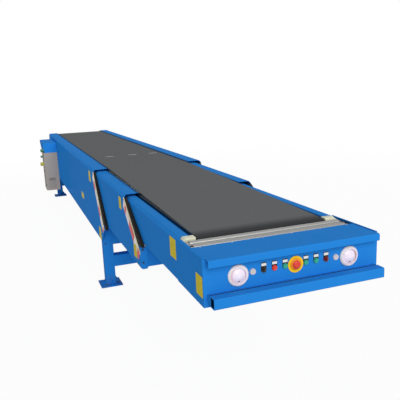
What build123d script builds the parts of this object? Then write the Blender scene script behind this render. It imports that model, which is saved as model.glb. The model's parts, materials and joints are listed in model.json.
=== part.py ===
from build123d import *
from collections import namedtuple
from math import atan2, degrees
import os

# Telescopic belt conveyor: a base on four legs, and a middle and a front boom that run out of it.
# Millimetres. X is the way the booms run out, Z is up and the floor is z = 0. Lengths are drawn from the
# base's rear end, on the belt's centreline, and every piece is moved to the part's origin as it is written.
# Right is the -Y side, as seen by someone who looks the way the booms run out.

# Belt and the sheet that it slides on
belt_width = 800
belt_thick = 4
lip_gap = 5
front_lip_gap = 25
bed_thick = 3
bed_fold = 14
belt_end_gap = 5
ramp_length = 400

# Side plates: bent sheet with a wide top flange, a chamfered shoulder and a narrow bottom flange
skin_thick = 4
shoulder_chamfer = 20
shoulder_bend = 6
lip_bend = 5
lip_height = 20
heel_bend = 8
heel_flange = 50
bed_front_gap = 12

# Nesting of the three sections
front_flange_width = 77
stage_inset = 31
stage_drop = 25
running_gap = 5
slide_gap = 0.3
seat_gap = 0.3

# Base: length of its top edge, height and depth, and the slanted front edge with its knee and toe
base_length = 5325
leg_height = 440
base_depth = 660
base_flange_back = 14
base_belt_rise = -4
base_slope = 400
base_knee_rise = 150
base_toe_back = 145

# Middle boom, and how far it stands out of the base
middle_out = 1250
middle_length = 5245
middle_depth = 445
middle_flange_back = 15
middle_belt_rise = 1
middle_slope = 443
middle_knee_rise = 105

# Front boom, and how far it stands out of the middle boom
front_out = 1596
front_length = 5691
front_depth = 250
front_flange_back = 400
front_belt_rise = 1

# Floor pans with pressed ribs
pan_thick = 2
pan_rib_height = 18
pan_rib_width = 60
pan_rib_pitch = 600
pan_end_margin = 120

# Legs
post_width = 93
post_wall = 5
post_cap_thick = 5
foot_thick = 12
anchor_spacing = 150
anchor_hole = 18
anchor_edge = 27.5
gusset_edge = 6
gusset_height = 70
gusset_thick = 8
front_post_ahead = 11
rear_post_face = 694
front_beam_below = 33
rear_beam_height = 95
lower_beam_height = 110
lower_beam_share = 0.4
beam_wall = 5

# Support bars of low-friction plastic that carry the booms
base_bar_height = 30
base_bar_inset = 21.5
middle_bar_height = 17
middle_bar_inset = 4
bar_shoulder = 6

# Front cross beam of the middle boom, with its corner brackets
middle_beam_depth = 58
middle_beam_above = 10
bracket_width = 50
bracket_thick = 7
bracket_below = 2
bracket_above_beam = 3
bracket_corner = 16

# Rubber gap seals along the slanted front edges
seal_side_gap = 5
seal_back = 70
base_seal_ahead = 115
base_seal_above = 25
middle_seal_top_ahead = 15
middle_seal_ahead = 38
middle_seal_above = 57

# Tail drum, its bearings and the plate that closes the rear end
tail_radius = 60
tail_axis_x = 125
tail_shaft_radius = 17.5
tail_return_length = 105
bearing_width = 100
bearing_thick = 40
bearing_corner = 20
shaft_play = 0.08
tail_plate_thick = 3
tail_plate_gap = 25
drum_wall = 6
drum_end_inset = 12

# Nose of the front boom: drum, nylon blocks, two transfer rollers
nose_axis_back = 371
nose_radius = 41
nose_return_length = 500
nose_shaft_radius = 12.5
nose_rim = 13
block_half_length = 28
block_inner_gap = 8
block_outer_gap = 30
block_height = 92
block_above_belt = 1
block_corner = 8
rear_roller_radius = 16
rear_roller_gap = 7
rear_roller_below = 2
front_roller_radius = 13
front_roller_gap = 36
front_roller_below = 7
roller_end_gap = 36
roller_shaft_radius = 6
roller_wall = 3

# Nose hood and front panel
hood_roller_gap = 26
hood_overhang = 39
hood_side_gap = 2
hood_below_flange = 4
hood_lip = 39
hood_thick = 3
hood_bend = 9
hood_return = 12
hood_rear_lip = 18
panel_thick = 3
panel_return = 22

# Safety bumper under the panel, and the rail that it caps
bumper_standoff = 33
bumper_depth = 55
rail_depth = 38
rail_play = 1
bumper_above_bottom = 18
bumper_height = 54
bumper_side_inset = 19
bumper_wall = 3
bumper_bend = 6
bumper_pin_radius = 6
bumper_pin_inset = 43
bumper_pin_count = 3

# Panel controls, in one row below the hood's lip
control_pitch = 60
control_below_lip = 64
stop_side_gap = 1.5
lamp_side_gap = 8
lamp_below_controls = 6
lamp_radius = 55
lamp_depth = 12
lamp_bowl_radius = 40
lens_bulge = 7
bezel_radius = 14.5
bezel_depth = 4
button_radius = 11
button_depth = 9
sensor_radius = 17
sensor_depth = 6
knob_depth = 16
knob_grip_width = 8
knob_grip_inset = 1
stop_plate_radius = 44
stop_plate_depth = 3
stop_neck_radius = 13
stop_head_radius = 21
stop_neck_depth = 5
stop_head_depth = 12
Control = namedtuple("Control", "kind place")
controls = [
    Control("sensor", -4), Control("selector", -3), Control("red", -2), Control("green", -1),
    Control("green", 1), Control("green", 2), Control("selector", 3), Control("sensor", 4),
]

# Electric cabinet and the carrier that holds it on the base's right side
cabinet_front = 1416
cabinet_length = 400
cabinet_depth = 200
cabinet_height = 635
cabinet_wall = 2
cabinet_flange = 18
cabinet_door_gap = 0.5
door_thick = 20
door_skin = 2
door_inset = 4
door_bend = 6
hinge_radius = 5
hinge_pin_radius = 3
hinge_offset = 6
hinge_length = 60
hinge_gap = 0.5
hinge_inset = 110
plate_margin = 40
plate_thick = 3
stud_length = 20
stud_radius = 6
carrier_length = 800
carrier_below_top = 54
carrier_height = 161
carrier_overhang = 14
carrier_taper = 38
carrier_wall = 3

# Pilot lamps: a green and a yellow one on the cabinet's door, and a larger green one above on the carrier
pilot_inset = 90
pilot_rim = 7
pilot_rim_depth = 8
green_drop = 65
green_radius = 18
green_depth = 45
yellow_drop = 190
yellow_radius = 30
yellow_depth = 60
carrier_lamp_rise = 38
carrier_lamp_radius = 27
carrier_lamp_depth = 55

# Drive unit of the belt, closed in the base, on the two rearmost ribs of its floor
drive_width = 360
drive_height = 110
drive_end_overhang = 30

# Widths that follow from the belt's
belt_half = belt_width / 2
bed_half = belt_half + lip_gap
front_lip = belt_half + front_lip_gap
front_half = front_lip + front_flange_width
middle_half = front_half + stage_inset
base_half = middle_half + stage_inset

# Sections: lip, belt and bottom edge, rear end, flange end, and the corner and toe of the slanted front edge
Section = namedtuple(
    "Section", "name half lip top belt_top bottom rear flange_end shoulder knee_x knee_z toe_x"
)


def section(
    name, half, lip, top, belt_rise, depth, shoulder, length, flange_back, slope, knee_rise, toe_back
):
    """One section from its own sizes; shoulder is where its top edge ends."""
    bottom = top - depth
    knee_x = shoulder + slope
    return Section(
        name, half, lip, top, top + belt_rise, bottom, shoulder - length, shoulder - flange_back, shoulder,
        knee_x, bottom + knee_rise, knee_x - toe_back,
    )


base = section(
    "base", base_half, bed_half, leg_height + base_depth, base_belt_rise, base_depth, base_length,
    base_length, base_flange_back, base_slope, base_knee_rise, base_toe_back,
)
middle = section(
    "middle", middle_half, bed_half, base.top - stage_drop, middle_belt_rise, middle_depth,
    base.shoulder + middle_out, middle_length, middle_flange_back, middle_slope, middle_knee_rise, 0,
)
front = section(
    "front", front_half, front_lip, middle.top - stage_drop, front_belt_rise, front_depth,
    middle.shoulder + front_out, front_length, front_flange_back, 0, front_depth, 0,
)

# Seals: where the front edge starts, and where it ends
Seal = namedtuple("Seal", "section inner top_x low_x low_z")
seals = [
    Seal(base, middle, base.shoulder, base.knee_x + base_seal_ahead, base.knee_z + base_seal_above),
    Seal(
        middle, front, middle.shoulder + middle_seal_top_ahead, middle.knee_x + middle_seal_ahead,
        middle.knee_z + middle_seal_above,
    ),
]

# Places that follow from the sections
foot_width = anchor_spacing + 2 * anchor_edge
front_post_face = base.toe_x + front_post_ahead
post_top = middle.bottom - base_bar_height
middle_beam_high = front.bottom - middle_bar_height
nose_axis_x = front.toe_x - nose_axis_back
nose_outer = nose_radius + belt_thick
rear_roller_x = nose_axis_x + nose_outer + rear_roller_gap + rear_roller_radius
front_roller_x = rear_roller_x + rear_roller_radius + front_roller_gap + front_roller_radius
hood_rear = front_roller_x + front_roller_radius + hood_roller_gap
hood_front = front.toe_x + hood_overhang
hood_low = front.top - hood_below_flange - hood_lip
bumper_rear = front.toe_x + bumper_standoff
bumper_front = bumper_rear + bumper_depth
rail_front = front.toe_x + rail_depth
bumper_low = front.bottom + bumper_above_bottom
bumper_half = front.half - bumper_side_inset
control_z = hood_low - control_below_lip
cabinet_high = base.top - carrier_below_top - carrier_height
cabinet_low = cabinet_high - cabinet_height
Roller = namedtuple("Roller", "name x radius below_belt")
rollers = [
    Roller("transfer_roller_rear", rear_roller_x, rear_roller_radius, rear_roller_below),
    Roller("transfer_roller_front", front_roller_x, front_roller_radius, front_roller_below),
]
Lamp = namedtuple("Lamp", "kind drop radius depth")
door_lamps = [
    Lamp("green", green_drop, green_radius, green_depth),
    Lamp("yellow", yellow_drop, yellow_radius, yellow_depth),
]
carrier_lamp = Lamp("carrier", -carrier_lamp_rise, carrier_lamp_radius, carrier_lamp_depth)

# The part's origin: middle of its footprint on the floor
door_face = -base.half - cabinet_depth - cabinet_door_gap - door_thick
foot_reach = base.half - skin_thick - post_width / 2 + foot_width / 2
origin_x = bumper_front / 2
origin_y = (door_face - max(green_depth, yellow_depth) + max(base.half, foot_reach)) / 2
overrun = 10


def block(x0, x1, y0, y1, z0, z1):
    """Solid between two corners."""
    return Pos((x0 + x1) / 2, (y0 + y1) / 2, (z0 + z1) / 2) * Box(x1 - x0, y1 - y0, z1 - z0)


def across(outline, half):
    """Prism of an outline in X and Z, as wide as half each way from the centreline."""
    return extrude(Plane.XZ * outline, half, both=True)


def bar_y(x, z, radius, y0, y1):
    """Round bar along Y."""
    return Pos(x, (y0 + y1) / 2, z) * Rot(X=90) * Cylinder(radius, y1 - y0)


def bar_x(y, z, radius, x0, x1):
    """Round bar along X."""
    return Pos((x0 + x1) / 2, y, z) * Rot(Y=90) * Cylinder(radius, x1 - x0)


def bar_z(x, y, radius, z0, z1):
    """Round bar along Z."""
    return Pos(x, y, (z0 + z1) / 2) * Cylinder(radius, z1 - z0)


def bent(points, bends, thick, side=Side.LEFT):
    """Cross-section of a sheet that is bent along the points."""
    path = FilletPolyline(*points, radius=bends)
    return make_face(offset(path, thick, side=side).edges())


def mirrored(part):
    """The same piece on the other side of the centreline."""
    return mirror(part, about=Plane.XZ)


def front_outline(section):
    """Side view of a section: level top, slanted front edge and toe."""
    return make_face(
        Polyline(
            (section.rear, section.bottom),
            (section.toe_x, section.bottom),
            (section.knee_x, section.knee_z),
            (section.shoulder, section.top - shoulder_chamfer),
            (section.shoulder, section.top),
            (section.rear, section.top),
            close=True,
        )
    )


def side_profile(section):
    """Cross-section of the right side plate: lip, top flange, shoulder, web and bottom flange."""
    points = (
        (-section.lip, section.top - lip_height),
        (-section.lip, section.top),
        (-section.half + shoulder_chamfer, section.top),
        (-section.half, section.top - shoulder_chamfer),
        (-section.half, section.bottom),
        (-section.half + heel_flange, section.bottom),
    )
    return bent(points, [lip_bend, shoulder_bend, shoulder_bend, heel_bend], skin_thick)


def side_plate(section):
    """Right side plate: one bent sheet, cut to the section's side view."""
    longest = max(section.toe_x, section.knee_x)
    plate = extrude(Plane.YZ * side_profile(section), longest - section.rear).moved(Pos(section.rear, 0, 0))
    if section.knee_x > section.shoulder:
        plate &= across(front_outline(section), section.half + overrun)
    inside = section.half - shoulder_chamfer
    past_flange = block(
        section.flange_end, longest + overrun, -inside, 0, section.top - lip_height, section.top + overrun
    )
    return plate - past_flange


def rib_places(section, front_end):
    """Where the pressed ribs of a section's floor pan stand along X."""
    x0 = section.rear + pan_end_margin
    count = int((front_end - x0 - pan_rib_width) // pan_rib_pitch)
    start = (x0 + front_end - (count - 1) * pan_rib_pitch) / 2
    return [start + i * pan_rib_pitch for i in range(count)]


def floor_pan(section, front_end):
    """Bottom sheet on the side plates' bottom flanges, with pressed ribs across it."""
    half = section.half - skin_thick - running_gap
    level = section.bottom + skin_thick
    pan = block(section.rear + pan_end_margin, front_end, -half, half, level, level + pan_thick)
    rib = (
        (-pan_rib_width / 2, 0),
        (-pan_rib_width / 4, pan_rib_height),
        (pan_rib_width / 4, pan_rib_height),
        (pan_rib_width / 2, 0),
    )
    raised = across(make_face(Polyline(*rib, close=True)), half - heel_flange)
    for x in rib_places(section, front_end):
        pan += Pos(x, 0, level) * raised
        pan -= Pos(x, 0, level - pan_thick) * raised
    return pan


def bed(section, rear_end, front_end):
    """Sheet under the belt, folded down and out to the flanges' lips where they stand clear of it."""
    top = section.belt_top - belt_thick
    sheet = block(rear_end, front_end, -bed_half, bed_half, top - bed_thick, top)
    if section.lip > bed_half:
        inside = -bed_half + bed_thick
        end = section.flange_end
        fold = block(rear_end, end, -bed_half, inside, top - bed_fold, top)
        fold += block(rear_end, end, -section.lip, inside, top - bed_fold, top - bed_fold + bed_thick)
        sheet += fold + mirrored(fold)
    return sheet


def belt_strip(path):
    """Belt along a path in side view; the path is the belt's outer face."""
    return across(make_face(offset(path, belt_thick, side=Side.RIGHT).edges()), belt_half)


def ramp(section, inner):
    """Points of a belt's front end, which comes down just above the next section's belt."""
    start = section.flange_end
    low = inner.belt_top + belt_end_gap + belt_thick
    return (start, section.belt_top), (start + ramp_length, low)


def base_belt():
    """Belt of the base: from round the tail drum to the ramp onto the middle boom."""
    top = base.belt_top
    outer = tail_radius + belt_thick
    under = top - 2 * outer
    bend_start, end = ramp(base, middle)
    lower = Line((tail_axis_x + tail_return_length, under), (tail_axis_x, under))
    wrap = ThreePointArc((tail_axis_x, under), (tail_axis_x - outer, top - outer), (tail_axis_x, top))
    upper = Polyline((tail_axis_x, top), bend_start, end)
    return belt_strip(Wire(lower.edges() + wrap.edges() + upper.edges()))


def middle_belt():
    """Belt of the middle boom: flat, then the ramp onto the front boom."""
    bend_start, end = ramp(middle, front)
    path = Polyline((middle.rear + pan_end_margin, middle.belt_top), bend_start, end)
    return belt_strip(path)


def front_belt():
    """Belt of the front boom: flat, then round the nose drum and back inside."""
    top = front.belt_top
    under = top - 2 * nose_outer
    upper = Line((front.rear + pan_end_margin, top), (nose_axis_x, top))
    wrap = ThreePointArc(
        (nose_axis_x, top), (nose_axis_x + nose_outer, top - nose_outer), (nose_axis_x, under)
    )
    lower = Line((nose_axis_x, under), (nose_axis_x - nose_return_length, under))
    return belt_strip(Wire(upper.edges() + wrap.edges() + lower.edges()))


def post_center(face):
    """Middle of a post along X, from its front face."""
    return face - post_width / 2


def leg(face):
    """Right leg: hollow post with a cap, foot plate with anchor holes, and gussets."""
    x = post_center(face)
    y = -(base.half - skin_thick) + post_width / 2
    reach = post_width / 2
    inner = reach - post_wall
    post = block(x - reach, x + reach, y - reach, y + reach, foot_thick, post_top)
    post -= block(x - inner, x + inner, y - inner, y + inner, foot_thick, post_top - post_cap_thick)
    plate = block(x - foot_width / 2, x + foot_width / 2, y - foot_width / 2, y + foot_width / 2, 0, foot_thick)
    for i in (-1, 1):
        for j in (-1, 1):
            place = (x + i * anchor_spacing / 2, y + j * anchor_spacing / 2)
            plate -= bar_z(*place, anchor_hole / 2, -overrun, foot_thick + overrun)
    gusset_length = foot_width / 2 - reach - gusset_edge
    web = make_face(Polyline((0, 0), (gusset_length, 0), (0, gusset_height), close=True))
    gusset = extrude(Plane.XZ * web, gusset_thick / 2, both=True).moved(Pos(reach, 0, foot_thick))
    for turn in (0, 90, 180):
        plate += Pos(x, y, 0) * Rot(Z=turn) * gusset
    return post + plate


def tube_beam(x0, x1, half, z0, z1):
    """Rectangular tube across the conveyor, open at its ends."""
    beam = block(x0, x1, -half, half, z0, z1)
    return beam - block(
        x0 + beam_wall, x1 - beam_wall, -half - overrun, half + overrun, z0 + beam_wall, z1 - beam_wall
    )


def post_box(face, low):
    """Space that a right post takes up in the frame."""
    y0 = -(base.half - skin_thick)
    return block(face - post_width, face, y0, y0 + post_width, low, post_top)


def base_pan_end():
    """Where the base's floor pan ends, behind the front posts."""
    return front_post_face - post_width - running_gap


def base_floor():
    """Floor pan of the base, notched round the rear posts."""
    notch = post_box(rear_post_face, base.bottom)
    return floor_pan(base, base_pan_end()) - notch - mirrored(notch)


def leg_beams(face, upper_low, upper_high):
    """The two cross beams between a pair of posts."""
    half = base.half - skin_thick - post_width
    x0 = face - post_width
    lower_low = foot_thick + lower_beam_share * (base.bottom - foot_thick)
    upper = tube_beam(x0, face, half, upper_low, upper_high)
    lower = tube_beam(x0, face, half, lower_low, lower_low + lower_beam_height)
    return [upper, lower]


def drive_unit():
    """Motor and gearbox of the belt as one block on the two rearmost ribs."""
    first, second = rib_places(base, base_pan_end())[:2]
    low = base.bottom + skin_thick + pan_rib_height + seat_gap
    return block(
        first - drive_end_overhang, second + drive_end_overhang,
        -drive_width / 2, drive_width / 2, low, low + drive_height,
    )


def notched_base_side():
    """Right side plate of the base, notched round the posts, with the tail bearing's housing inside it."""
    plate = side_plate(base)
    y0 = -(base.half - skin_thick)
    for face in (front_post_face, rear_post_face):
        plate -= post_box(face, base.bottom - overrun)
    z = base.belt_top - belt_thick - tail_radius
    reach = bearing_width / 2
    housing = block(tail_axis_x - reach, tail_axis_x + reach, y0, y0 + bearing_thick, z - reach, z + reach)
    plate += fillet(housing.edges().filter_by(Axis.Y), bearing_corner)
    return plate - bar_y(tail_axis_x, z, tail_shaft_radius + shaft_play, y0, y0 + bearing_thick + overrun)


def drum(x, z, radius, shaft_radius, shaft_half):
    """Hollow drum as wide as the belt, with end discs on a through shaft."""
    inner = radius - drum_wall
    shell = bar_y(x, z, radius, -belt_half, belt_half) - bar_y(x, z, inner, -belt_half, belt_half)
    disc_inner = belt_half - drum_end_inset - drum_wall
    disc = bar_y(x, z, inner, disc_inner, disc_inner + drum_wall)
    return shell + disc + mirrored(disc) + bar_y(x, z, shaft_radius, -shaft_half, shaft_half)


def tail_drum():
    """Drum at the rear end of the base."""
    z = base.belt_top - belt_thick - tail_radius
    shaft_half = base.half - skin_thick - seat_gap
    return drum(tail_axis_x, z, tail_radius - seat_gap, tail_shaft_radius, shaft_half)


def block_outer():
    """Outer face of the nylon blocks at the nose."""
    return front.half - skin_thick - block_outer_gap


def nose_drum():
    """Drum at the nose of the front boom."""
    z = front.belt_top - belt_thick - nose_radius
    return drum(nose_axis_x, z, nose_radius - seat_gap, nose_shaft_radius, block_outer())


def tail_plate():
    """Plate that closes the base's rear end below the tail drum."""
    half = base.half - skin_thick
    high = base.belt_top - 2 * (belt_thick + tail_radius) - tail_plate_gap
    plate = block(0, tail_plate_thick, -half, half, base.bottom + heel_bend, high)
    return plate + block(0, heel_flange, -half, half, high - tail_plate_thick, high)


def support_bar(x0, x1, seat, carried):
    """Plastic bar across the conveyor, on which the next boom's bottom flanges slide."""
    top = carried.bottom - slide_gap
    outline = make_face(
        Polyline(
            (x0, seat),
            (x1, seat),
            (x1, top - bar_shoulder),
            (x1 - bar_shoulder, top),
            (x0 + bar_shoulder, top),
            (x0, top - bar_shoulder),
            close=True,
        )
    )
    return across(outline, carried.half - skin_thick)


def middle_front_beam():
    """Cross beam that closes the middle boom's front end, with a rounded bracket at each corner."""
    half = middle.half - skin_thick
    low = middle.bottom + middle_beam_above
    beam = tube_beam(middle.toe_x - middle_beam_depth, middle.toe_x, half, low, middle_beam_high)
    outer, inner = -middle.half, -middle.half + bracket_width
    bracket_low = middle.bottom - bracket_below
    bracket_high = middle_beam_high + bracket_above_beam
    corners = ((outer, bracket_low), (inner, bracket_low), (inner, bracket_high), (outer, bracket_high))
    face = make_face(Polyline(*corners, close=True))
    face = fillet(face.vertices().group_by(Axis.Y)[0], bracket_corner)
    bracket = extrude(Plane.YZ * face, bracket_thick).moved(Pos(middle.toe_x, 0, 0))
    return beam + bracket + mirrored(bracket)


def gap_seal(seal):
    """Right rubber seal in the gap between two side plates, along the slanted front edge."""
    outer = seal.section.half - skin_thick
    inner = seal.inner.half + seal_side_gap
    top_z = seal.section.top - shoulder_chamfer - shoulder_bend
    outline = make_face(
        Polyline(
            (seal.top_x, top_z),
            (seal.low_x, seal.low_z),
            (seal.low_x - seal_back, seal.low_z),
            (seal.top_x - seal_back, top_z),
            close=True,
        )
    )
    return extrude(Plane.XZ * outline, outer - inner).moved(Pos(0, -inner, 0))


def panel_top():
    """Height at which the front panel meets the hood."""
    return front.top - hood_below_flange - hood_thick


def front_side():
    """Right side plate of the front boom: narrow rim at the nose, and a return that frames the panel."""
    plate = side_plate(front)
    inside = front.half - nose_rim
    z = front.top - shoulder_chamfer - shoulder_bend
    plate -= block(
        front.flange_end, front.toe_x + overrun, -front.half - overrun, 0, z, front.top + overrun
    )
    rim_path = (
        (-inside, front.top),
        (-front.half, front.top),
        (-front.half, front.bottom),
    )
    rim = bent(rim_path, [nose_rim - skin_thick], skin_thick)
    plate += extrude(Plane.YZ * rim, front.toe_x - front.flange_end).moved(Pos(front.flange_end, 0, 0))
    y0 = -front.half
    wrap = block(front.toe_x - panel_thick, front.toe_x, y0, y0 + panel_return, front.bottom, panel_top())
    return plate + wrap


def nose_block():
    """Right nylon block that carries the nose drum's shaft."""
    top = front.belt_top + block_above_belt
    z = front.belt_top - belt_thick - nose_radius
    body = block(
        nose_axis_x - block_half_length, nose_axis_x + block_half_length,
        -block_outer(), -belt_half - block_inner_gap, top - block_height, top,
    )
    body = fillet(body.edges().filter_by(Axis.Y).group_by(Axis.Z)[-1], block_corner)
    return body - bar_y(nose_axis_x, z, nose_shaft_radius + shaft_play, -front.half, 0)


def transfer_roller(roller):
    """Small roller between the nose drum and the hood."""
    z = front.belt_top - roller.below_belt - roller.radius
    shaft_half = front.half - skin_thick - seat_gap
    half = front.half - skin_thick - roller_end_gap
    inner = roller.radius - roller_wall
    tube = bar_y(roller.x, z, roller.radius, -half, half) - bar_y(roller.x, z, inner, -half, half)
    plug = bar_y(roller.x, z, inner, half - drum_end_inset, half)
    return tube + plug + mirrored(plug) + bar_y(roller.x, z, roller_shaft_radius, -shaft_half, shaft_half)


def nose_hood():
    """Bent cover over the nose, with a lip that overhangs the panel."""
    top = front.top - hood_below_flange
    points = (
        (hood_rear, top - hood_rear_lip),
        (hood_rear, top),
        (hood_front, top),
        (hood_front, hood_low),
        (hood_front - hood_return, hood_low),
    )
    bends = [hood_bend / 2, hood_bend, hood_bend / 2]
    hood_half = front.half - nose_rim - hood_side_gap
    return across(bent(points, bends, hood_thick, side=Side.RIGHT), hood_half)


def front_panel():
    """Plate that closes the nose, between the returns of the side plates."""
    half = front.half - panel_return
    low = front.bottom + skin_thick
    panel = block(front.toe_x - panel_thick, front.toe_x, -half, half, low, panel_top())
    fold_half = front.half - heel_flange
    fold = block(front.toe_x - heel_flange, front.toe_x, -fold_half, fold_half, low - panel_thick, low)
    return panel + fold


def bumper_rail():
    """Bar along the foot of the panel, which the bumper caps."""
    inset = bumper_wall + rail_play
    return block(
        front.toe_x, rail_front, -bumper_half, bumper_half,
        bumper_low + inset, bumper_low + bumper_height - inset,
    )


def bumper():
    """Bent channel, open to the rear, on pins that stand out of the rail."""
    high = bumper_low + bumper_height
    points = (
        (bumper_rear, high),
        (bumper_front, high),
        (bumper_front, bumper_low),
        (bumper_rear, bumper_low),
    )
    channel = across(bent(points, [bumper_bend, bumper_bend], bumper_wall, side=Side.RIGHT), bumper_half)
    pin_y = bumper_half - bumper_pin_inset
    step = 2 * pin_y / (bumper_pin_count - 1)
    pin_end = bumper_front - bumper_wall / 2
    for i in range(bumper_pin_count):
        channel += bar_x(-pin_y + i * step, (bumper_low + high) / 2, bumper_pin_radius, rail_front, pin_end)
    return channel


def turned_on_panel(points, y, z):
    """Solid turned round an axis along X that stands on the panel; points are (radius, depth)."""
    outline = make_face(Polyline(*points, close=True))
    return Pos(front.toe_x, y, z) * Rot(Y=90) * revolve(Plane.XZ * outline, Axis.Z)


def control_y(place):
    """Side place of a control, counted from the emergency stop in the middle."""
    first = stop_plate_radius + stop_side_gap + bezel_radius
    reach = first + (abs(place) - 1) * control_pitch
    return reach if place > 0 else -reach


def lamp_places():
    """Side places of the two headlamps, outside the row of controls."""
    last = max(control.place for control in controls)
    reach = control_y(last) + sensor_radius + lamp_side_gap + lamp_radius
    return -reach, reach


def lamp_rim(y):
    """Round headlamp rim with a dished front."""
    points = (
        (0, 0), (lamp_radius, 0), (lamp_radius, lamp_depth / 2), (lamp_radius - lamp_depth / 2, lamp_depth),
        (lamp_bowl_radius, lamp_depth), (lamp_bowl_radius, lamp_depth / 2), (0, lamp_depth / 2),
    )
    return turned_on_panel(points, y, control_z - lamp_below_controls)


def lamp_lens(y):
    """Domed lens inside the rim."""
    radius = lamp_bowl_radius - seat_gap
    height = lamp_depth / 2 + lens_bulge
    ball = (radius**2 + height**2) / (2 * height)
    cap = Pos(0, 0, height - ball) * Sphere(ball) & Pos(0, 0, height / 2) * Cylinder(radius, height)
    return Pos(front.toe_x + lamp_depth / 2, y, control_z - lamp_below_controls) * Rot(Y=90) * cap


def push_button(y):
    """Flush push button in a round bezel."""
    points = (
        (0, 0), (bezel_radius, 0), (bezel_radius, bezel_depth), (button_radius, bezel_depth),
        (button_radius, button_depth), (0, button_depth),
    )
    return turned_on_panel(points, y, control_z)


def sensor(y):
    """Round photo sensor window."""
    points = (
        (0, 0), (sensor_radius, 0), (sensor_radius - bezel_depth / 2, sensor_depth),
        (0, sensor_depth),
    )
    return turned_on_panel(points, y, control_z)


def selector(y):
    """Selector switch: round bezel with a raised grip."""
    reach = button_radius - knob_grip_inset
    grip = block(
        front.toe_x + button_depth, front.toe_x + knob_depth, y - knob_grip_width / 2,
        y + knob_grip_width / 2, control_z - reach, control_z + reach,
    )
    return push_button(y) + grip


def stop_plate():
    """Round plate behind the emergency stop button."""
    points = (
        (0, 0), (stop_plate_radius, 0), (stop_plate_radius, stop_plate_depth), (0, stop_plate_depth),
    )
    return turned_on_panel(points, 0, control_z)


def stop_button():
    """Mushroom head of the emergency stop."""
    neck = stop_plate_depth + stop_neck_depth
    points = (
        (0, stop_plate_depth), (stop_neck_radius, stop_plate_depth), (stop_neck_radius, neck),
        (stop_head_radius, neck), (stop_head_radius, neck + stop_head_depth / 2),
        (stop_neck_radius, neck + stop_head_depth), (0, neck + stop_head_depth),
    )
    return turned_on_panel(points, 0, control_z)


def cabinet_corners():
    """Ends of the cabinet along X and its outer and inner planes along Y."""
    return cabinet_front - cabinet_length, cabinet_front, -base.half - cabinet_depth, -base.half


def control_cabinet():
    """Hollow cabinet with a flange round its door opening and hinge barrels at its rear edge."""
    x0, x1, y0, y1 = cabinet_corners()
    w = cabinet_wall
    shell = block(x0, x1, y0, y1, cabinet_low, cabinet_high)
    shell -= block(x0 + w, x1 - w, y0 + w, y1 - w, cabinet_low + w, cabinet_high - w)
    f = cabinet_flange
    shell -= block(x0 + f, x1 - f, y0 - overrun, y0 + w + overrun, cabinet_low + f, cabinet_high - f)
    x, y = hinge_place()
    for z in hinge_levels():
        low = z - hinge_length / 2
        shell += bar_z(x, y, hinge_radius, low, z - hinge_gap)
        shell += block(x, x0 + w, y, y0 + w, low, z - hinge_gap)
        shell += bar_z(x, y, hinge_pin_radius, low, z + hinge_length / 2)
    return shell


def mounting_plate():
    """Plate for the switchgear inside the cabinet, on four studs from the back wall."""
    x0, x1, _, y1 = cabinet_corners()
    inset = cabinet_wall + plate_margin
    wall = y1 - cabinet_wall
    face = wall - stud_length
    low, high = cabinet_low + inset, cabinet_high - inset
    plate = block(x0 + inset, x1 - inset, face - plate_thick, face, low, high)
    for x in (x0 + inset + plate_margin, x1 - inset - plate_margin):
        for z in (low + plate_margin, high - plate_margin):
            plate += bar_y(x, z, stud_radius, face, wall)
    return plate


def hinge_place():
    """The door's hinge axis, seen from above."""
    x0, _, y0, _ = cabinet_corners()
    return x0 - hinge_offset, y0


def hinge_levels():
    """Heights of the two hinges."""
    return cabinet_low + hinge_inset, cabinet_high - hinge_inset


def cabinet_door():
    """Pan-shaped door on the cabinet's right face, with its hinge barrels."""
    x0, x1, y0, _ = cabinet_corners()
    back = y0 - cabinet_door_gap
    left, right = x0 + door_inset, x1 - door_inset
    low, high = cabinet_low + door_inset, cabinet_high - door_inset
    door = block(left, right, door_face, back, low, high)
    door = fillet(door.edges().filter_by(Axis.Z).group_by(Axis.Y)[0], door_bend)
    s = door_skin
    door -= block(left + s, right - s, door_face + s, back + overrun, low + s, high - s)
    x, y = hinge_place()
    for z in hinge_levels():
        end = z + hinge_length / 2
        door += bar_z(x, y, hinge_radius, z, end)
        door += block(x, left + s, y - hinge_radius, y - cabinet_door_gap, z, end)
        door -= bar_z(x, y, hinge_pin_radius + shaft_play, z - overrun, end + overrun)
    return door


def pilot_lamp(lamp, y, lean):
    """Round pilot lamp that stands out to the right, with its axis leaning down by an angle."""
    rim = lamp.radius + pilot_rim
    points = (
        (0, 0), (rim, 0), (rim, pilot_rim_depth), (lamp.radius, pilot_rim_depth),
        (lamp.radius, lamp.depth), (0, lamp.depth),
    )
    outline = make_face(Polyline(*points, close=True))
    turned = Rot(X=90 + lean) * revolve(Plane.XZ * outline, Axis.Z)
    return Pos(cabinet_front - pilot_inset, y, cabinet_high - lamp.drop) * turned


def lamp_on_carrier():
    """Pilot lamp that stands square on the carrier's leaning side."""
    side_height = carrier_height - carrier_taper
    y = -base.half - cabinet_depth - carrier_overhang * carrier_lamp_rise / side_height
    return pilot_lamp(carrier_lamp, y, degrees(atan2(carrier_overhang, side_height)))


def cabinet_carrier():
    """Tapered sheet box on the base's right side plate, from which the cabinet hangs."""
    _, x1, low_y, y1 = cabinet_corners()
    x0 = x1 - carrier_length
    high = cabinet_high + carrier_height
    points = (
        (y1, cabinet_high),
        (low_y, cabinet_high),
        (low_y - carrier_overhang, high - carrier_taper),
        (low_y - carrier_overhang, high),
        (y1, high),
    )
    outline = make_face(Polyline(*points, close=True))
    box = extrude(Plane.YZ * outline, carrier_length).moved(Pos(x0, 0, 0))
    inner = make_face(offset(Polyline(*points, close=True), -carrier_wall).edges())
    hollow = extrude(Plane.YZ * inner, carrier_length - 2 * carrier_wall).moved(Pos(x0 + carrier_wall, 0, 0))
    return box - hollow


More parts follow.
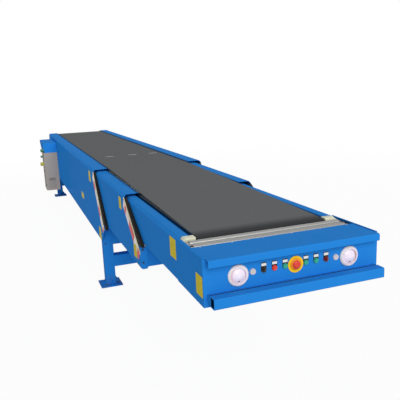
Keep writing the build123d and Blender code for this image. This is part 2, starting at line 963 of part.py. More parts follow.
def save(name, solids):
    """Set a piece on the part's origin and write its STEP file."""
    shape = Compound(children=solids) if isinstance(solids, list) else solids
    export_step(Pos(-origin_x, -origin_y, 0) * shape, "parts/" + name + ".step")


def both_sides(name, part):
    """Write a right piece and its mirror image."""
    save(name + "_right", part)
    save(name + "_left", mirrored(part))


def control_solids(kind, maker):
    """All the controls of one kind on the panel."""
    return [maker(control_y(control.place)) for control in controls if control.kind == kind]


def build_base():
    both_sides("base_side", notched_base_side())
    save("base_floor", base_floor())
    save("base_bed", bed(base, tail_axis_x + tail_radius / 2, base.flange_end - bed_front_gap))
    save("base_belt", base_belt())
    save("base_tail_plate", tail_plate())
    save("tail_drum", tail_drum())
    save("drive_unit", drive_unit())
    both_sides("front_leg", leg(front_post_face))
    both_sides("rear_leg", leg(rear_post_face))
    save("front_leg_beams", leg_beams(front_post_face, base.bottom - front_beam_below, post_top))
    save("rear_leg_beams", leg_beams(rear_post_face, base.bottom - rear_beam_height, base.bottom))
    x0 = front_post_face - post_width + base_bar_inset
    save("base_support_bar", support_bar(x0, front_post_face - base_bar_inset, post_top, middle))
    save("cabinet_carrier", cabinet_carrier())
    save("control_cabinet", control_cabinet())
    save("cabinet_mounting_plate", mounting_plate())
    save("cabinet_door", cabinet_door())
    for lamp in door_lamps:
        save("door_lamps_" + lamp.kind, pilot_lamp(lamp, door_face, 0))
    save("carrier_lamp", lamp_on_carrier())


def build_middle():
    both_sides("middle_side", side_plate(middle))
    beam_rear = middle.toe_x - middle_beam_depth
    save("middle_floor", floor_pan(middle, beam_rear - running_gap))
    save("middle_bed", bed(middle, middle.rear + pan_end_margin, middle.flange_end - bed_front_gap))
    save("middle_belt", middle_belt())
    save("middle_front_beam", middle_front_beam())
    bar_ends = (beam_rear + middle_bar_inset, middle.toe_x - middle_bar_inset)
    save("middle_support_bar", support_bar(*bar_ends, middle_beam_high, front))
    for seal in seals:
        both_sides(seal.section.name + "_gap_seal", gap_seal(seal))


def build_front():
    both_sides("front_side", front_side())
    save("front_floor", floor_pan(front, front.toe_x - heel_flange - running_gap))
    save("front_bed", bed(front, front.rear + pan_end_margin, nose_axis_x - nose_radius / 2))
    save("front_belt", front_belt())
    both_sides("nose_block", nose_block())
    save("nose_drum", nose_drum())
    for roller in rollers:
        save(roller.name, transfer_roller(roller))
    save("nose_hood", nose_hood())
    save("front_panel", front_panel())
    save("bumper_rail", bumper_rail())
    save("bumper", bumper())
    save("headlamp_rims", [lamp_rim(y) for y in lamp_places()])
    save("headlamp_lenses", [lamp_lens(y) for y in lamp_places()])
    save("panel_sensors", control_solids("sensor", sensor))
    save("selector_switches", control_solids("selector", selector))
    save("green_buttons", control_solids("green", push_button))
    save("red_button", control_solids("red", push_button))
    save("emergency_stop_plate", stop_plate())
    save("emergency_stop_button", stop_button())


os.makedirs("parts", exist_ok=True)
build_base()
build_middle()
build_front()
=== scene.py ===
"""Looks of the telescopic belt conveyor: finishes, trim, fasteners, studio and camera.

Metres. X is the way the booms run out, Z is up, and right is the -Y side. What stands on both sides is
modelled on the right and mirrored over the belt's centreline. Every piece has its place in its mesh.
"""

import json
import logging
import math
from collections.abc import Iterable
from dataclasses import dataclass
from enum import Enum
from functools import cached_property

import bmesh
import bpy
from mathutils import Matrix, Vector


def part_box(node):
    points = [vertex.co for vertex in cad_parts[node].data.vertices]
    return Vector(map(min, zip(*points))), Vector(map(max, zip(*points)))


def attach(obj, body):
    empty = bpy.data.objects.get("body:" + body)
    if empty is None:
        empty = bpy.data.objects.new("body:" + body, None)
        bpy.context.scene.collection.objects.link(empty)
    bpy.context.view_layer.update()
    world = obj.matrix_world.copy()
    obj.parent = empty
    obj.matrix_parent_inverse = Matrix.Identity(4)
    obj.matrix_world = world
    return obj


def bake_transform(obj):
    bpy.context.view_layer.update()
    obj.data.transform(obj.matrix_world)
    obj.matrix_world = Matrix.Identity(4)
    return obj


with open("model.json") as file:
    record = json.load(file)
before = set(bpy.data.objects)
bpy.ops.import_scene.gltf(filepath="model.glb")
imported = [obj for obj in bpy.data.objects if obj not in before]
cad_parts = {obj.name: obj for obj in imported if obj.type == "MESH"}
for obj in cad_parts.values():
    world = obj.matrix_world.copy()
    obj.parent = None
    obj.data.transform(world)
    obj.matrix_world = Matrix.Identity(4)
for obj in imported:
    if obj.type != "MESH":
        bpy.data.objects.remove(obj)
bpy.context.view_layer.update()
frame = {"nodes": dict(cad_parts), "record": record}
LOG = logging.getLogger("conveyor")

MM = 0.001
MIDDLE_Y = (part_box("base_side_right")[0].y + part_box("base_side_left")[1].y) / 2
PLATE_THICK = 4 * MM
RAMP = 400 * MM
RAMP_LIFT = 9 * MM

FORWARD = Vector((1.0, 0.0, 0.0))
RIGHTWARD = Vector((0.0, -1.0, 0.0))
UP = Vector((0.0, 0.0, 1.0))
NO_TURN = (0.0, 0.0, 0.0)
FACING = 0.9999  # least cosine between a face's normal and the side that it is on
SAME = 1e-6  # distance within which faces lie equally far out
GREY = (0.5, 0.5, 0.5)
WHITE = (1.0, 1.0, 1.0)

Object = bpy.types.Object
Node = bpy.types.Node
NodeTree = bpy.types.NodeTree
Socket = bpy.types.NodeSocket
Sockets = bpy.types.NodeOutputs
Color = tuple[float, float, float]


class Axis(Enum):
    """Directions that round pieces stand along, as Euler turns of a Z cylinder."""

    X = (0.0, math.pi / 2, 0.0)
    Y = (math.pi / 2, 0.0, 0.0)
    Z = (0.0, 0.0, 0.0)


class NoseShade(Enum):
    """How a belt piece gets its painted shade at the nose: by its place, by its own length, or not at all."""

    PLACE = "place"
    LENGTH = "length"
    NONE = "none"


def linear(*display: int) -> Color:
    """Linear colour, as shaders take it, of a display colour's red, green and blue from 0 to 255."""
    shares = [value / 255 for value in display]
    return tuple(share / 12.92 if share <= 0.04045 else ((share + 0.055) / 1.055) ** 2.4 for share in shares)


class NodeBox:
    """Box round a CAD node: its lowest and highest corner, its middle and its lengths."""

    def __init__(self, node: str) -> None:
        """Measure the node."""
        self.low, self.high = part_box(node)
        self.middle, self.size = (self.low + self.high) / 2, self.high - self.low


class Piece:
    """A mesh made with the mesh operators. Its steps return it, so that they can be chained."""

    def __init__(self, name: str) -> None:
        """Name the active object, and put its place, turn and scale into its mesh.

        Args:
            name: Name of the piece.
        """
        self.obj = bpy.context.view_layer.objects.active
        self.obj.name = self.obj.data.name = name
        self.select()
        bpy.ops.object.transform_apply(location=True, rotation=True, scale=True)

    @classmethod
    def box(cls, name: str, size: Iterable[float], at: Iterable[float], turn: tuple = NO_TURN) -> "Piece":
        """Add a box.

        Args:
            name: Name of the piece.
            size: Lengths along its own X, Y and Z.
            at: Its middle.
            turn: Euler turn about its middle.

        Returns:
            The piece.
        """
        cls.clear()
        bpy.ops.mesh.primitive_cube_add(size=1.0, location=tuple(at), rotation=turn)
        bpy.context.active_object.scale = tuple(size)
        return cls(name)

    @classmethod
    def rod(
        cls, name: str, radius: float, length: float, at: Iterable[float],
        axis: Axis = Axis.Z, sides: int = 32,
    ) -> "Piece":
        """Add a round or many-sided bar.

        Args:
            name: Name of the piece.
            radius: Radius to its corners.
            length: Length along its axis.
            at: Its middle.
            axis: Direction that it stands along.
            sides: Number of its sides.

        Returns:
            The piece.
        """
        cls.clear()
        bpy.ops.mesh.primitive_cylinder_add(
            vertices=sides, radius=radius, depth=length, location=tuple(at), rotation=axis.value
        )
        return cls(name)

    @classmethod
    def join(cls, name: str, objects: list[Object]) -> "Piece":
        """Join objects into one piece.

        Args:
            name: Name of the piece.
            objects: The objects.

        Returns:
            The piece.
        """
        cls.clear()
        for obj in objects:
            obj.select_set(True)
        bpy.context.view_layer.objects.active = objects[0]
        if len(objects) > 1:
            bpy.ops.object.join()
        return cls(name)

    @staticmethod
    def clear() -> None:
        """Leave edit mode and deselect everything."""
        if bpy.context.mode != "OBJECT":
            bpy.ops.object.mode_set(mode="OBJECT")
        bpy.ops.object.select_all(action="DESELECT")

    def select(self) -> None:
        """Select the piece alone and make it active."""
        self.clear()
        self.obj.select_set(True)
        bpy.context.view_layer.objects.active = self.obj

    def edit(self, *sides: Vector) -> None:
        """Open face edit mode.

        Args:
            *sides: Directions whose outermost faces are selected. Without any, every face is.
        """
        self.select()
        bpy.ops.object.mode_set(mode="EDIT")
        bpy.ops.mesh.select_mode(type="FACE")
        bpy.ops.mesh.select_all(action="DESELECT" if sides else "SELECT")
        mesh = bmesh.from_edit_mesh(self.obj.data)
        for side in sides:
            facing = [face for face in mesh.faces if face.normal.dot(side) > FACING]
            furthest = max(face.calc_center_median().dot(side) for face in facing)
            for face in facing:
                face.select = face.calc_center_median().dot(side) > furthest - SAME
        mesh.select_flush_mode()
        bmesh.update_edit_mesh(self.obj.data)

    def close(self) -> "Piece":
        """Leave edit mode."""
        bpy.ops.object.mode_set(mode="OBJECT")
        return self

    def inset(self, side: Vector, border: float, depth: float = 0.0) -> "Piece":
        """Inset the outermost face on one side.

        Args:
            side: Direction that the face looks in.
            border: Width of the border.
            depth: How far the inner face is raised, or sunk if negative.

        Returns:
            The piece.
        """
        self.edit(side)
        bpy.ops.mesh.inset(thickness=border, depth=depth)
        return self.close()

    def rounded(self, width: float, segments: int = 2) -> "Piece":
        """Round every sharp edge.

        Args:
            width: Width of the rounding.
            segments: Number of faces across it.

        Returns:
            The piece.
        """
        self.select()
        bevel = self.obj.modifiers.new("rounding", "BEVEL")
        bevel.width, bevel.segments = width, segments
        bevel.limit_method, bevel.angle_limit = "ANGLE", math.radians(35)
        bpy.ops.object.modifier_apply(modifier=bevel.name)
        return self

    def copies(self, places: Iterable[Iterable[float]]) -> "Piece":
        """Repeat the piece as one joined mesh.

        Args:
            places: Offsets of the copies from where it is.

        Returns:
            The joined piece.
        """
        name, twins = self.obj.name, []
        for place in places:
            twin = self.obj.copy()
            twin.data = self.obj.data.copy()
            twin.data.transform(Matrix.Translation(Vector(tuple(place))))
            bpy.context.scene.collection.objects.link(twin)
            twins.append(twin)
        bpy.data.objects.remove(self.obj)
        return self.join(name, twins)

    def both_sides(self) -> "Piece":
        """Add the mirror image on the other side of the belt's centreline.

        Returns:
            The piece with its mirror image in the same mesh.
        """
        self.edit()
        bpy.ops.mesh.duplicate()
        bpy.ops.transform.mirror(
            orient_type="GLOBAL", constraint_axis=(False, True, False), center_override=(0.0, MIDDLE_Y, 0.0)
        )
        bpy.ops.mesh.flip_normals()
        return self.close()

    def dress(self, finish: "Finish", angle: float = 35.0) -> Object:
        """Shade the finished piece and give it its finish.

        Args:
            finish: Its finish.
            angle: Largest angle in degrees that is shaded smooth.

        Returns:
            The piece's object.
        """
        self.select()
        bpy.ops.object.shade_smooth_by_angle(angle=math.radians(angle))
        self.obj.data.materials.append(finish.material)
        return self.obj

    def fit(self, finish: "Finish", body: str, slot: str, angle: float = 35.0) -> None:
        """Dress the finished piece and fasten it to the body that it rides on."""
        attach(self.dress(finish, angle), body)
        LOG.info("%s rides on %s", self.obj.name, body)


class Board:
    """A node tree that is filled step by step."""

    def __init__(self, tree: NodeTree) -> None:
        """Keep the tree and empty it."""
        self.tree = tree
        self.tree.nodes.clear()

    def feed(self, socket: Socket, value: object) -> None:
        """Link an input socket to another one, or set its value.

        Args:
            socket: The input socket.
            value: Output socket, number, vector, or colour without alpha.
        """
        if isinstance(value, Socket):
            self.tree.links.new(value, socket)
        else:
            socket.default_value = (*value, 1.0) if socket.type == "RGBA" else value

    def put(self, node: Node, **values: object) -> Node:
        """Set a node's attributes and feed its inputs.

        Args:
            node: The node.
            **values: Attributes, which start in lower case, and then inputs, with _ for a space.

        Returns:
            The same node.
        """
        for name, value in values.items():
            if name[0].islower():
                setattr(node, name, value)
            else:
                self.feed(node.inputs[name.replace("_", " ")], value)
        return node

    def add(self, kind: str, **values: object) -> Node:
        """Add a node.

        Args:
            kind: Node type without its ShaderNode prefix.
            **values: Attributes and inputs, as put takes them.

        Returns:
            The node.
        """
        node = self.tree.nodes.new(kind if kind.startswith("NodeGroup") else f"ShaderNode{kind}")
        node.location = (180 * len(self.tree.nodes), 0)
        return self.put(node, **values)

    def count(self, node: Node, values: dict[int, object], output: int = 0) -> Socket:
        """Feed a node's inputs by number.

        Args:
            node: The node.
            values: Value or socket for each input's number.
            output: Number of the output that is returned.

        Returns:
            The output.
        """
        for index, value in values.items():
            self.feed(node.inputs[index], value)
        return node.outputs[output]

    def math(self, operation: str, first: object, second: object = 0.0, clamp: bool = False) -> Socket:
        """Result of an operation on two values or sockets."""
        return self.count(self.add("Math", operation=operation, use_clamp=clamp), {0: first, 1: second})

    def mix(self, factor: object, first: object, second: object) -> Socket:
        """Mix of two colours or sockets."""
        return self.count(self.add("Mix", data_type="RGBA"), {0: factor, 6: first, 7: second}, 2)

    def spread(self, value: Socket, low: float, high: float, first: float = 0.0, last: float = 1.0) -> Socket:
        """Value whose range from low to high is mapped onto first to last, and held at its ends."""
        ends = {"From_Min": low, "From_Max": high, "To_Min": first, "To_Max": last}
        return self.add("MapRange", clamp=True, Value=value, **ends).outputs["Result"]

    def noise(self, vector: Socket, scale: object, detail: float = 3.0) -> Socket:
        """Value of a noise texture."""
        node = self.add("TexNoise", noise_dimensions="3D", Vector=vector, Scale=scale, Detail=detail)
        return node.outputs["Fac"]

    def stretched(self, vector: Socket, scale: tuple, turn: tuple = NO_TURN) -> Socket:
        """Coordinates that are stretched and turned."""
        return self.add("Mapping", Vector=vector, Rotation=turn, Scale=scale).outputs["Vector"]

    def axes(self, vector: Socket) -> Sockets:
        """X, Y and Z of a vector."""
        return self.add("SeparateXYZ", Vector=vector).outputs

    def bump(self, height: Socket, strength: object, distance: float) -> Socket:
        """Surface normal of a height."""
        return self.add("Bump", Height=height, Strength=strength, Distance=distance).outputs["Normal"]


class Effect:
    """Node group that several finishes share, built once.

    Attributes:
        name: Name of the group.
        inputs: Input names with their usual values; None is a vector that is always linked.
        output: Name and kind of its output.
    """

    name: str
    inputs: dict[str, object]
    output: tuple[str, str]

    @classmethod
    def group(cls) -> NodeTree:
        """Build the group, or find the one that is there.

        Returns:
            The group.
        """
        made = bpy.data.node_groups.get(cls.name)
        if made:
            return made
        tree = bpy.data.node_groups.new(cls.name, "ShaderNodeTree")
        for name, value in cls.inputs.items():
            kind = {type(None): "Vector", tuple: "Color"}.get(type(value), "Float")
            socket = tree.interface.new_socket(name=name, in_out="INPUT", socket_type=f"NodeSocket{kind}")
            if value is not None:
                socket.default_value = (*value, 1.0) if kind == "Color" else value
        name, kind = cls.output
        tree.interface.new_socket(name=name, in_out="OUTPUT", socket_type=f"NodeSocket{kind}")
        board = Board(tree)
        result = cls.fill(board, board.add("NodeGroupInput").outputs)
        tree.links.new(result, board.add("NodeGroupOutput").inputs[0])
        return tree

    @staticmethod
    def fill(board: Board, given: Sockets) -> Socket:
        """Build what is inside the group."""
        raise NotImplementedError


class ToneDrift(Effect):
    """Slow change of a colour's brightness over the surface."""

    name = "tone_drift"
    inputs = {"Vector": None, "Color": GREY, "Scale": 2.0, "Depth": 0.2}
    output = ("Color", "Color")

    @staticmethod
    def fill(board: Board, given: Sockets) -> Socket:
        """Brighten and darken the colour with two scales of noise.

        Args:
            board: The group's board.
            given: The group's inputs by name.

        Returns:
            The drifting colour.
        """
        slow = board.noise(given["Vector"], given["Scale"])
        fine = board.noise(given["Vector"], board.math("MULTIPLY", given["Scale"], 9.0))
        both = board.math("ADD", slow, board.math("MULTIPLY", fine, 0.4))
        swing = board.math("MULTIPLY", board.math("SUBTRACT", both, 0.7), given["Depth"])
        value = board.math("ADD", swing, 1.0)
        return board.add("HueSaturation", Color=given["Color"], Value=value).outputs["Color"]


class GrainBump(Effect):
    """Fine uneven surface, as of powder coat or moulded plastic."""

    name = "grain_bump"
    inputs = {"Vector": None, "Scale": 300.0, "Strength": 0.2}
    output = ("Normal", "Vector")

    @staticmethod
    def fill(board: Board, given: Sockets) -> Socket:
        """Turn noise into a surface normal."""
        return board.bump(board.noise(given["Vector"], given["Scale"], 2.0), given["Strength"], 0.2 * MM)


class GlossDrift(Effect):
    """Roughness that drifts between two values."""

    name = "gloss_drift"
    inputs = {"Vector": None, "Scale": 6.0, "Low": 0.3, "High": 0.4}
    output = ("Roughness", "Float")

    @staticmethod
    def fill(board: Board, given: Sockets) -> Socket:
        """Spread noise between the two values.

        Args:
            board: The group's board.
            given: The group's inputs by name.

        Returns:
            The drifting roughness.
        """
        share = board.spread(board.noise(given["Vector"], given["Scale"], 4.0), 0.35, 0.65)
        span = board.math("SUBTRACT", given["High"], given["Low"])
        return board.math("ADD", given["Low"], board.math("MULTIPLY", share, span))


class SettledDust(Effect):
    """Thin dust on what faces up."""

    name = "settled_dust"
    inputs = {"Vector": None, "Color": GREY, "Dust": (0.45, 0.43, 0.4), "Amount": 0.1}
    output = ("Color", "Color")

    @staticmethod
    def fill(board: Board, given: Sockets) -> Socket:
        """Mask of upward faces, broken up by noise.

        Args:
            board: The group's board.
            given: The group's inputs by name.

        Returns:
            The dusty colour.
        """
        normal = board.add("NewGeometry").outputs["Normal"]
        upward = board.spread(board.axes(normal)["Z"], 0.6, 1.0)
        patch = board.spread(board.noise(given["Vector"], 5.0, 6.0), 0.3, 0.75)
        factor = board.math("MULTIPLY", board.math("MULTIPLY", upward, patch), given["Amount"])
        return board.mix(factor, given["Color"], given["Dust"])


class BeltEdgeShade(Effect):
    """Painted shade on the frame right beside the belt, in the gap along the belt's edge."""

    name = "belt_edge_shade_group"
    inputs = {"Vector": None, "Color": GREY, "ShadeColor": (0.004, 0.012, 0.03), "Amount": 0.9}
    output = ("Color", "Color")
    starts = 12 * MM
    ends = 36 * MM

    @staticmethod
    def fill(board: Board, given: Sockets) -> Socket:
        """Darken with painted shade what lies beside the belt, behind the nose and over the floor pans.

        Args:
            board: The group's board.
            given: The group's inputs by name.

        Returns:
            The rubbed colour.
        """
        edge = NodeBox("front_belt").size.y / 2
        place = board.axes(given["Vector"])
        across = board.math("ABSOLUTE", board.math("SUBTRACT", place["Y"], MIDDLE_Y))
        fade = board.spread(across, edge + BeltEdgeShade.starts, edge + BeltEdgeShade.ends, 1.0, 0.0)
        behind = board.math("LESS_THAN", place["X"], NodeBox("nose_block_right").low.x)
        above = board.math("GREATER_THAN", place["Z"], NodeBox("front_bed").low.z)
        mask = board.math("MULTIPLY", fade, board.math("MULTIPLY", behind, above))
        return board.mix(board.math("MULTIPLY", mask, given["Amount"]), given["Color"], given["ShadeColor"])


class Scuffs(Effect):
    """Thin pale scratches in mixed directions."""

    name = "scuffs"
    inputs = {"Vector": None, "Scale": 5.0, "Amount": 0.3}
    output = ("Mask", "Float")

    @staticmethod
    def fill(board: Board, given: Sockets) -> Socket:
        """Narrow bands of stretched noise, kept to a few patches.

        Args:
            board: The group's board.
            given: The group's inputs by name.

        Returns:
            Share of a scratch.
        """
        stretched = board.stretched(given["Vector"], (1.0, 14.0, 6.0), (0.3, 0.9, 0.5))
        band = board.noise(stretched, given["Scale"], 2.0)
        line = board.spread(board.math("ABSOLUTE", board.math("SUBTRACT", band, 0.5)), 0.004, 0.0)
        patch = board.spread(board.noise(given["Vector"], 1.7, 2.0), 0.55, 0.7)
        return board.math("MULTIPLY", board.math("MULTIPLY", line, patch), given["Amount"])


@dataclass(frozen=True)
class Finish:
    """A material, built when the finish is made.

    Attributes:
        roughness: Lowest and highest roughness.
    """

    name: str
    color: Color
    roughness: tuple[float, float] = (0.3, 0.42)

    def __post_init__(self) -> None:
        """Build the material."""
        self.board.add("OutputMaterial", Surface=self.shader.outputs[0])
        self.fill()

    @cached_property
    def material(self) -> bpy.types.Material:
        """Start the material.

        Returns:
            The material.
        """
        material = bpy.data.materials.new(self.name)
        material.use_nodes = True
        return material

    @cached_property
    def board(self) -> Board:
        """Board of the material's nodes."""
        return Board(self.material.node_tree)

    @cached_property
    def place(self) -> Socket:
        """Object coordinates."""
        return self.board.add("TexCoord").outputs["Object"]

    @cached_property
    def shader(self) -> Node:
        """The material's shader."""
        return self.board.add("BsdfPrincipled")

    def fill(self) -> None:
        """Build what feeds the shader."""
        raise NotImplementedError

    def effect(self, kind: type[Effect], **inputs: object) -> Socket:
        """Output of a shared effect that is placed in the material."""
        return self.board.add("Group", node_tree=kind.group(), Vector=self.place, **inputs).outputs[0]

    def tone(self, color: object, scale: float, depth: float) -> Socket:
        """A colour or socket whose brightness drifts."""
        return self.effect(ToneDrift, Color=color, Scale=scale, Depth=depth)

    def gloss(self, scale: float) -> Socket:
        """Roughness that drifts between the finish's two values."""
        return self.effect(GlossDrift, Scale=scale, Low=self.roughness[0], High=self.roughness[1])


@dataclass(frozen=True)
class Paint(Finish):
    """Powder coat over steel.

    Attributes:
        grain_scale: Fineness of its surface.
        grain_strength: Depth of its surface.
        coat: Weight of the clear top layer.
        drift: How much its brightness changes.
        dust: Share of dust on what faces up.
        scuff: Share of scratches that show.
        grime_height: Height up to which floor dirt shows.
        edge_shade: Share of painted shade beside the belt.
    """

    roughness: tuple[float, float] = (0.26, 0.36)
    grain_scale: float = 260.0
    grain_strength: float = 0.12
    coat: float = 0.025
    drift: float = 0.06
    dust: float = 0.02
    scuff: float = 0.06
    grime_height: float = 0.12
    edge_shade: float = 0.85
    scuff_color: Color = (0.42, 0.45, 0.5)
    grime_color: Color = (0.12, 0.105, 0.09)

    def fill(self) -> None:
        """Put dust, scuffs, painted shade beside the belt and floor dirt on the coat."""
        board = self.board
        color = self.effect(SettledDust, Color=self.tone(self.color, 1.3, self.drift), Amount=self.dust)
        color = board.mix(self.effect(Scuffs, Amount=self.scuff), color, self.scuff_color)
        # painted shade on the frame beside the belt's edge
        color = self.effect(BeltEdgeShade, Color=color, Amount=self.edge_shade)
        low = board.spread(board.axes(self.place)["Z"], 0.0, self.grime_height, 0.55, 0.0)
        grime = board.math("MULTIPLY", low, board.spread(board.noise(self.place, 14.0, 5.0), 0.35, 0.7))
        board.put(
            self.shader, Base_Color=board.mix(grime, color, self.grime_color), Roughness=self.gloss(4.0),
            Normal=self.effect(GrainBump, Scale=self.grain_scale, Strength=self.grain_strength),
            Specular_IOR_Level=0.0, Coat_Weight=self.coat, Coat_Roughness=0.15,
        )


@dataclass(frozen=True)
class Belting(Finish):
    """Rubber-covered fabric belt with a fine weave, worn tracks along its run and painted shade at the nose.

    Attributes:
        shading: How the painted shade at the nose is placed.
        weave_pitch: Distance from thread to thread.
        worn_color: Colour of the threads and streaks that are worn.
        nose_shade_color: Colour of the painted shade where the belt turns round the nose.
        nose_reach: How far behind the nose drum the painted shade starts.
        nose_shade: Share of the painted shade's colour at the nose.
        last: Share of a free span's length that gets the painted shade.
    """

    roughness: tuple[float, float] = (0.5, 0.62)
    shading: NoseShade = NoseShade.PLACE
    weave_pitch: float = 1.6 * MM
    worn_color: Color = (0.16, 0.16, 0.16)
    nose_shade_color: Color = (0.02, 0.02, 0.022)
    nose_reach: float = 60 * MM
    nose_shade: float = 0.95
    last: float = 0.046

    def turning(self) -> Socket:
        """Build the painted shade at the nose.

        Returns:
            Share of the painted shade's colour, which grows towards the nose.
        """
        drum, place, most = NodeBox("nose_drum"), self.place, self.nose_shade
        start, stop = drum.low.x - self.nose_reach, drum.high.x
        if self.shading is NoseShade.LENGTH:
            most *= (NodeBox("nose_block_right").low.x - start) / (stop - start)
            start, stop, place = 1.0 - self.last, 1.0, self.board.add("TexCoord").outputs["UV"]
        return self.board.spread(self.board.axes(place)["X"], start, stop, 0.0, most)

    def fill(self) -> None:
        """Build the weave, the worn streaks and the painted shade at the nose."""
        board = self.board
        threads = [
            board.add(
                "TexWave", wave_type="BANDS", bands_direction=way, wave_profile="SIN", Vector=self.place,
                Scale=math.pi / 10 / self.weave_pitch, Distortion=0.6, Detail=1.0,
            ).outputs["Fac"]
            for way in ("X", "Y")
        ]
        weave = board.math("MULTIPLY", *threads)
        runs = board.noise(board.stretched(self.place, (0.25, 16.0, 1.0)), 1.0, 5.0)
        color = self.tone(self.color, 0.9, 0.05)
        for mask, share in ((board.spread(runs, 0.4, 0.75), 0.06), (weave, 0.1)):
            color = board.mix(board.math("MULTIPLY", mask, share), color, self.worn_color)
        # painted shade where the belt turns round the nose drum
        if self.shading is not NoseShade.NONE:
            color = board.mix(self.turning(), color, self.nose_shade_color)
        normal = board.bump(weave, 0.35, 0.3 * MM)
        board.put(
            self.shader, Base_Color=color, Roughness=self.gloss(9.0), Normal=normal, Specular_IOR_Level=0.0
        )


@dataclass(frozen=True)
class TurnedMetal(Finish):
    """Drawn or turned metal with lines round its axis along Y, or plain rolled metal.

    Attributes:
        line_scale: Number of lines in a metre; plain metal has no more than its grain.
        grain: Number of grains in a metre.
    """

    roughness: tuple[float, float] = (0.24, 0.38)
    line_scale: float = 900.0
    grain: float = 8.0

    def fill(self) -> None:
        """Build the lines."""
        board = self.board
        stretched = board.stretched(self.place, (self.grain, max(self.line_scale, self.grain), self.grain))
        normal = board.bump(board.noise(stretched, 1.0, 2.0), 0.12, 0.1 * MM)
        color = self.tone(self.color, 6.0, 0.12)
        board.put(self.shader, Base_Color=color, Roughness=self.gloss(20.0), Normal=normal, Metallic=1.0)


@dataclass(frozen=True)
class Galvanised(Finish):
    """Zinc-coated sheet with its spangle.

    Attributes:
        spangle_scale: Number of spangles in a metre.
        shade: Colour of the darkest spangles.
    """

    spangle_scale: float = 70.0
    shade: Color = (0.3, 0.32, 0.34)

    def fill(self) -> None:
        """Build the spangle."""
        board = self.board
        cells = board.add("TexVoronoi", feature="F1", Vector=self.place, Scale=self.spangle_scale)
        parts = board.add("SeparateColor", Color=cells.outputs["Color"]).outputs
        color = board.mix(board.spread(parts["Red"], 0.0, 1.0, 0.0, 0.35), self.color, self.shade)
        rough = board.spread(parts["Green"], 0.0, 1.0, 0.28, 0.46)
        board.put(self.shader, Base_Color=color, Roughness=rough, Metallic=0.9)


@dataclass(frozen=True)
class Rubber(Finish):
    """Matt black rubber brush, with bristles that lean across the run of the seal.

    Attributes:
        line_scale: Number of bristles in a metre.
        lean: How far they lean, in degrees.
        tip_color: Colour of their tips.
    """

    line_scale: float = 320.0
    lean: float = 38.0
    tip_color: Color = (0.03, 0.024, 0.02)

    def fill(self) -> None:
        """Build the bristles."""
        board, turn = self.board, (0.0, math.radians(self.lean), 0.0)
        lines = board.noise(board.stretched(self.place, (4.0, 4.0, self.line_scale), turn), 1.0, 2.0)
        color = self.tone(board.mix(board.spread(lines, 0.4, 0.7), self.color, self.tip_color), 12.0, 0.4)
        normal = board.bump(lines, 0.4, 0.6 * MM)
        board.put(self.shader, Base_Color=color, Roughness=0.72, Normal=normal, Specular_IOR_Level=0.1)


@dataclass(frozen=True)
class Plastic(Finish):
    """Moulded plastic.

    Attributes:
        grain_scale: Fineness of its surface.
        grain_strength: Depth of its surface.
        drift: How much its brightness changes.
        dust: Share of dust on what faces up.
        coat: Weight of a glossy top layer.
        specular: Strength of its own shine.
    """

    grain_scale: float = 900.0
    grain_strength: float = 0.08
    drift: float = 0.15
    dust: float = 0.08
    coat: float = 0.0
    specular: float = 0.25

    def fill(self) -> None:
        """Build the dusty, grained surface."""
        color = self.effect(SettledDust, Color=self.tone(self.color, 18.0, self.drift), Amount=self.dust)
        self.board.put(
            self.shader, Base_Color=color, Roughness=self.gloss(40.0),
            Normal=self.effect(GrainBump, Scale=self.grain_scale, Strength=self.grain_strength),
            Specular_IOR_Level=self.specular, Coat_Weight=self.coat,
        )


@dataclass(frozen=True)
class TwoTonePlastic(Finish):
    """Plastic of one colour on the conveyor's right half and another on its left half.

    Attributes:
        left: Colour on the left.
    """

    roughness: tuple[float, float] = (0.22, 0.34)
    left: Color = GREY

    def fill(self) -> None:
        """Split the colour at the belt's centreline."""
        to_left = self.board.math("GREATER_THAN", self.board.axes(self.place)["Y"], MIDDLE_Y)
        color = self.tone(self.board.mix(to_left, self.color, self.left), 60.0, 0.3)
        self.board.put(self.shader, Base_Color=color, Roughness=self.gloss(60.0), Coat_Weight=0.3)


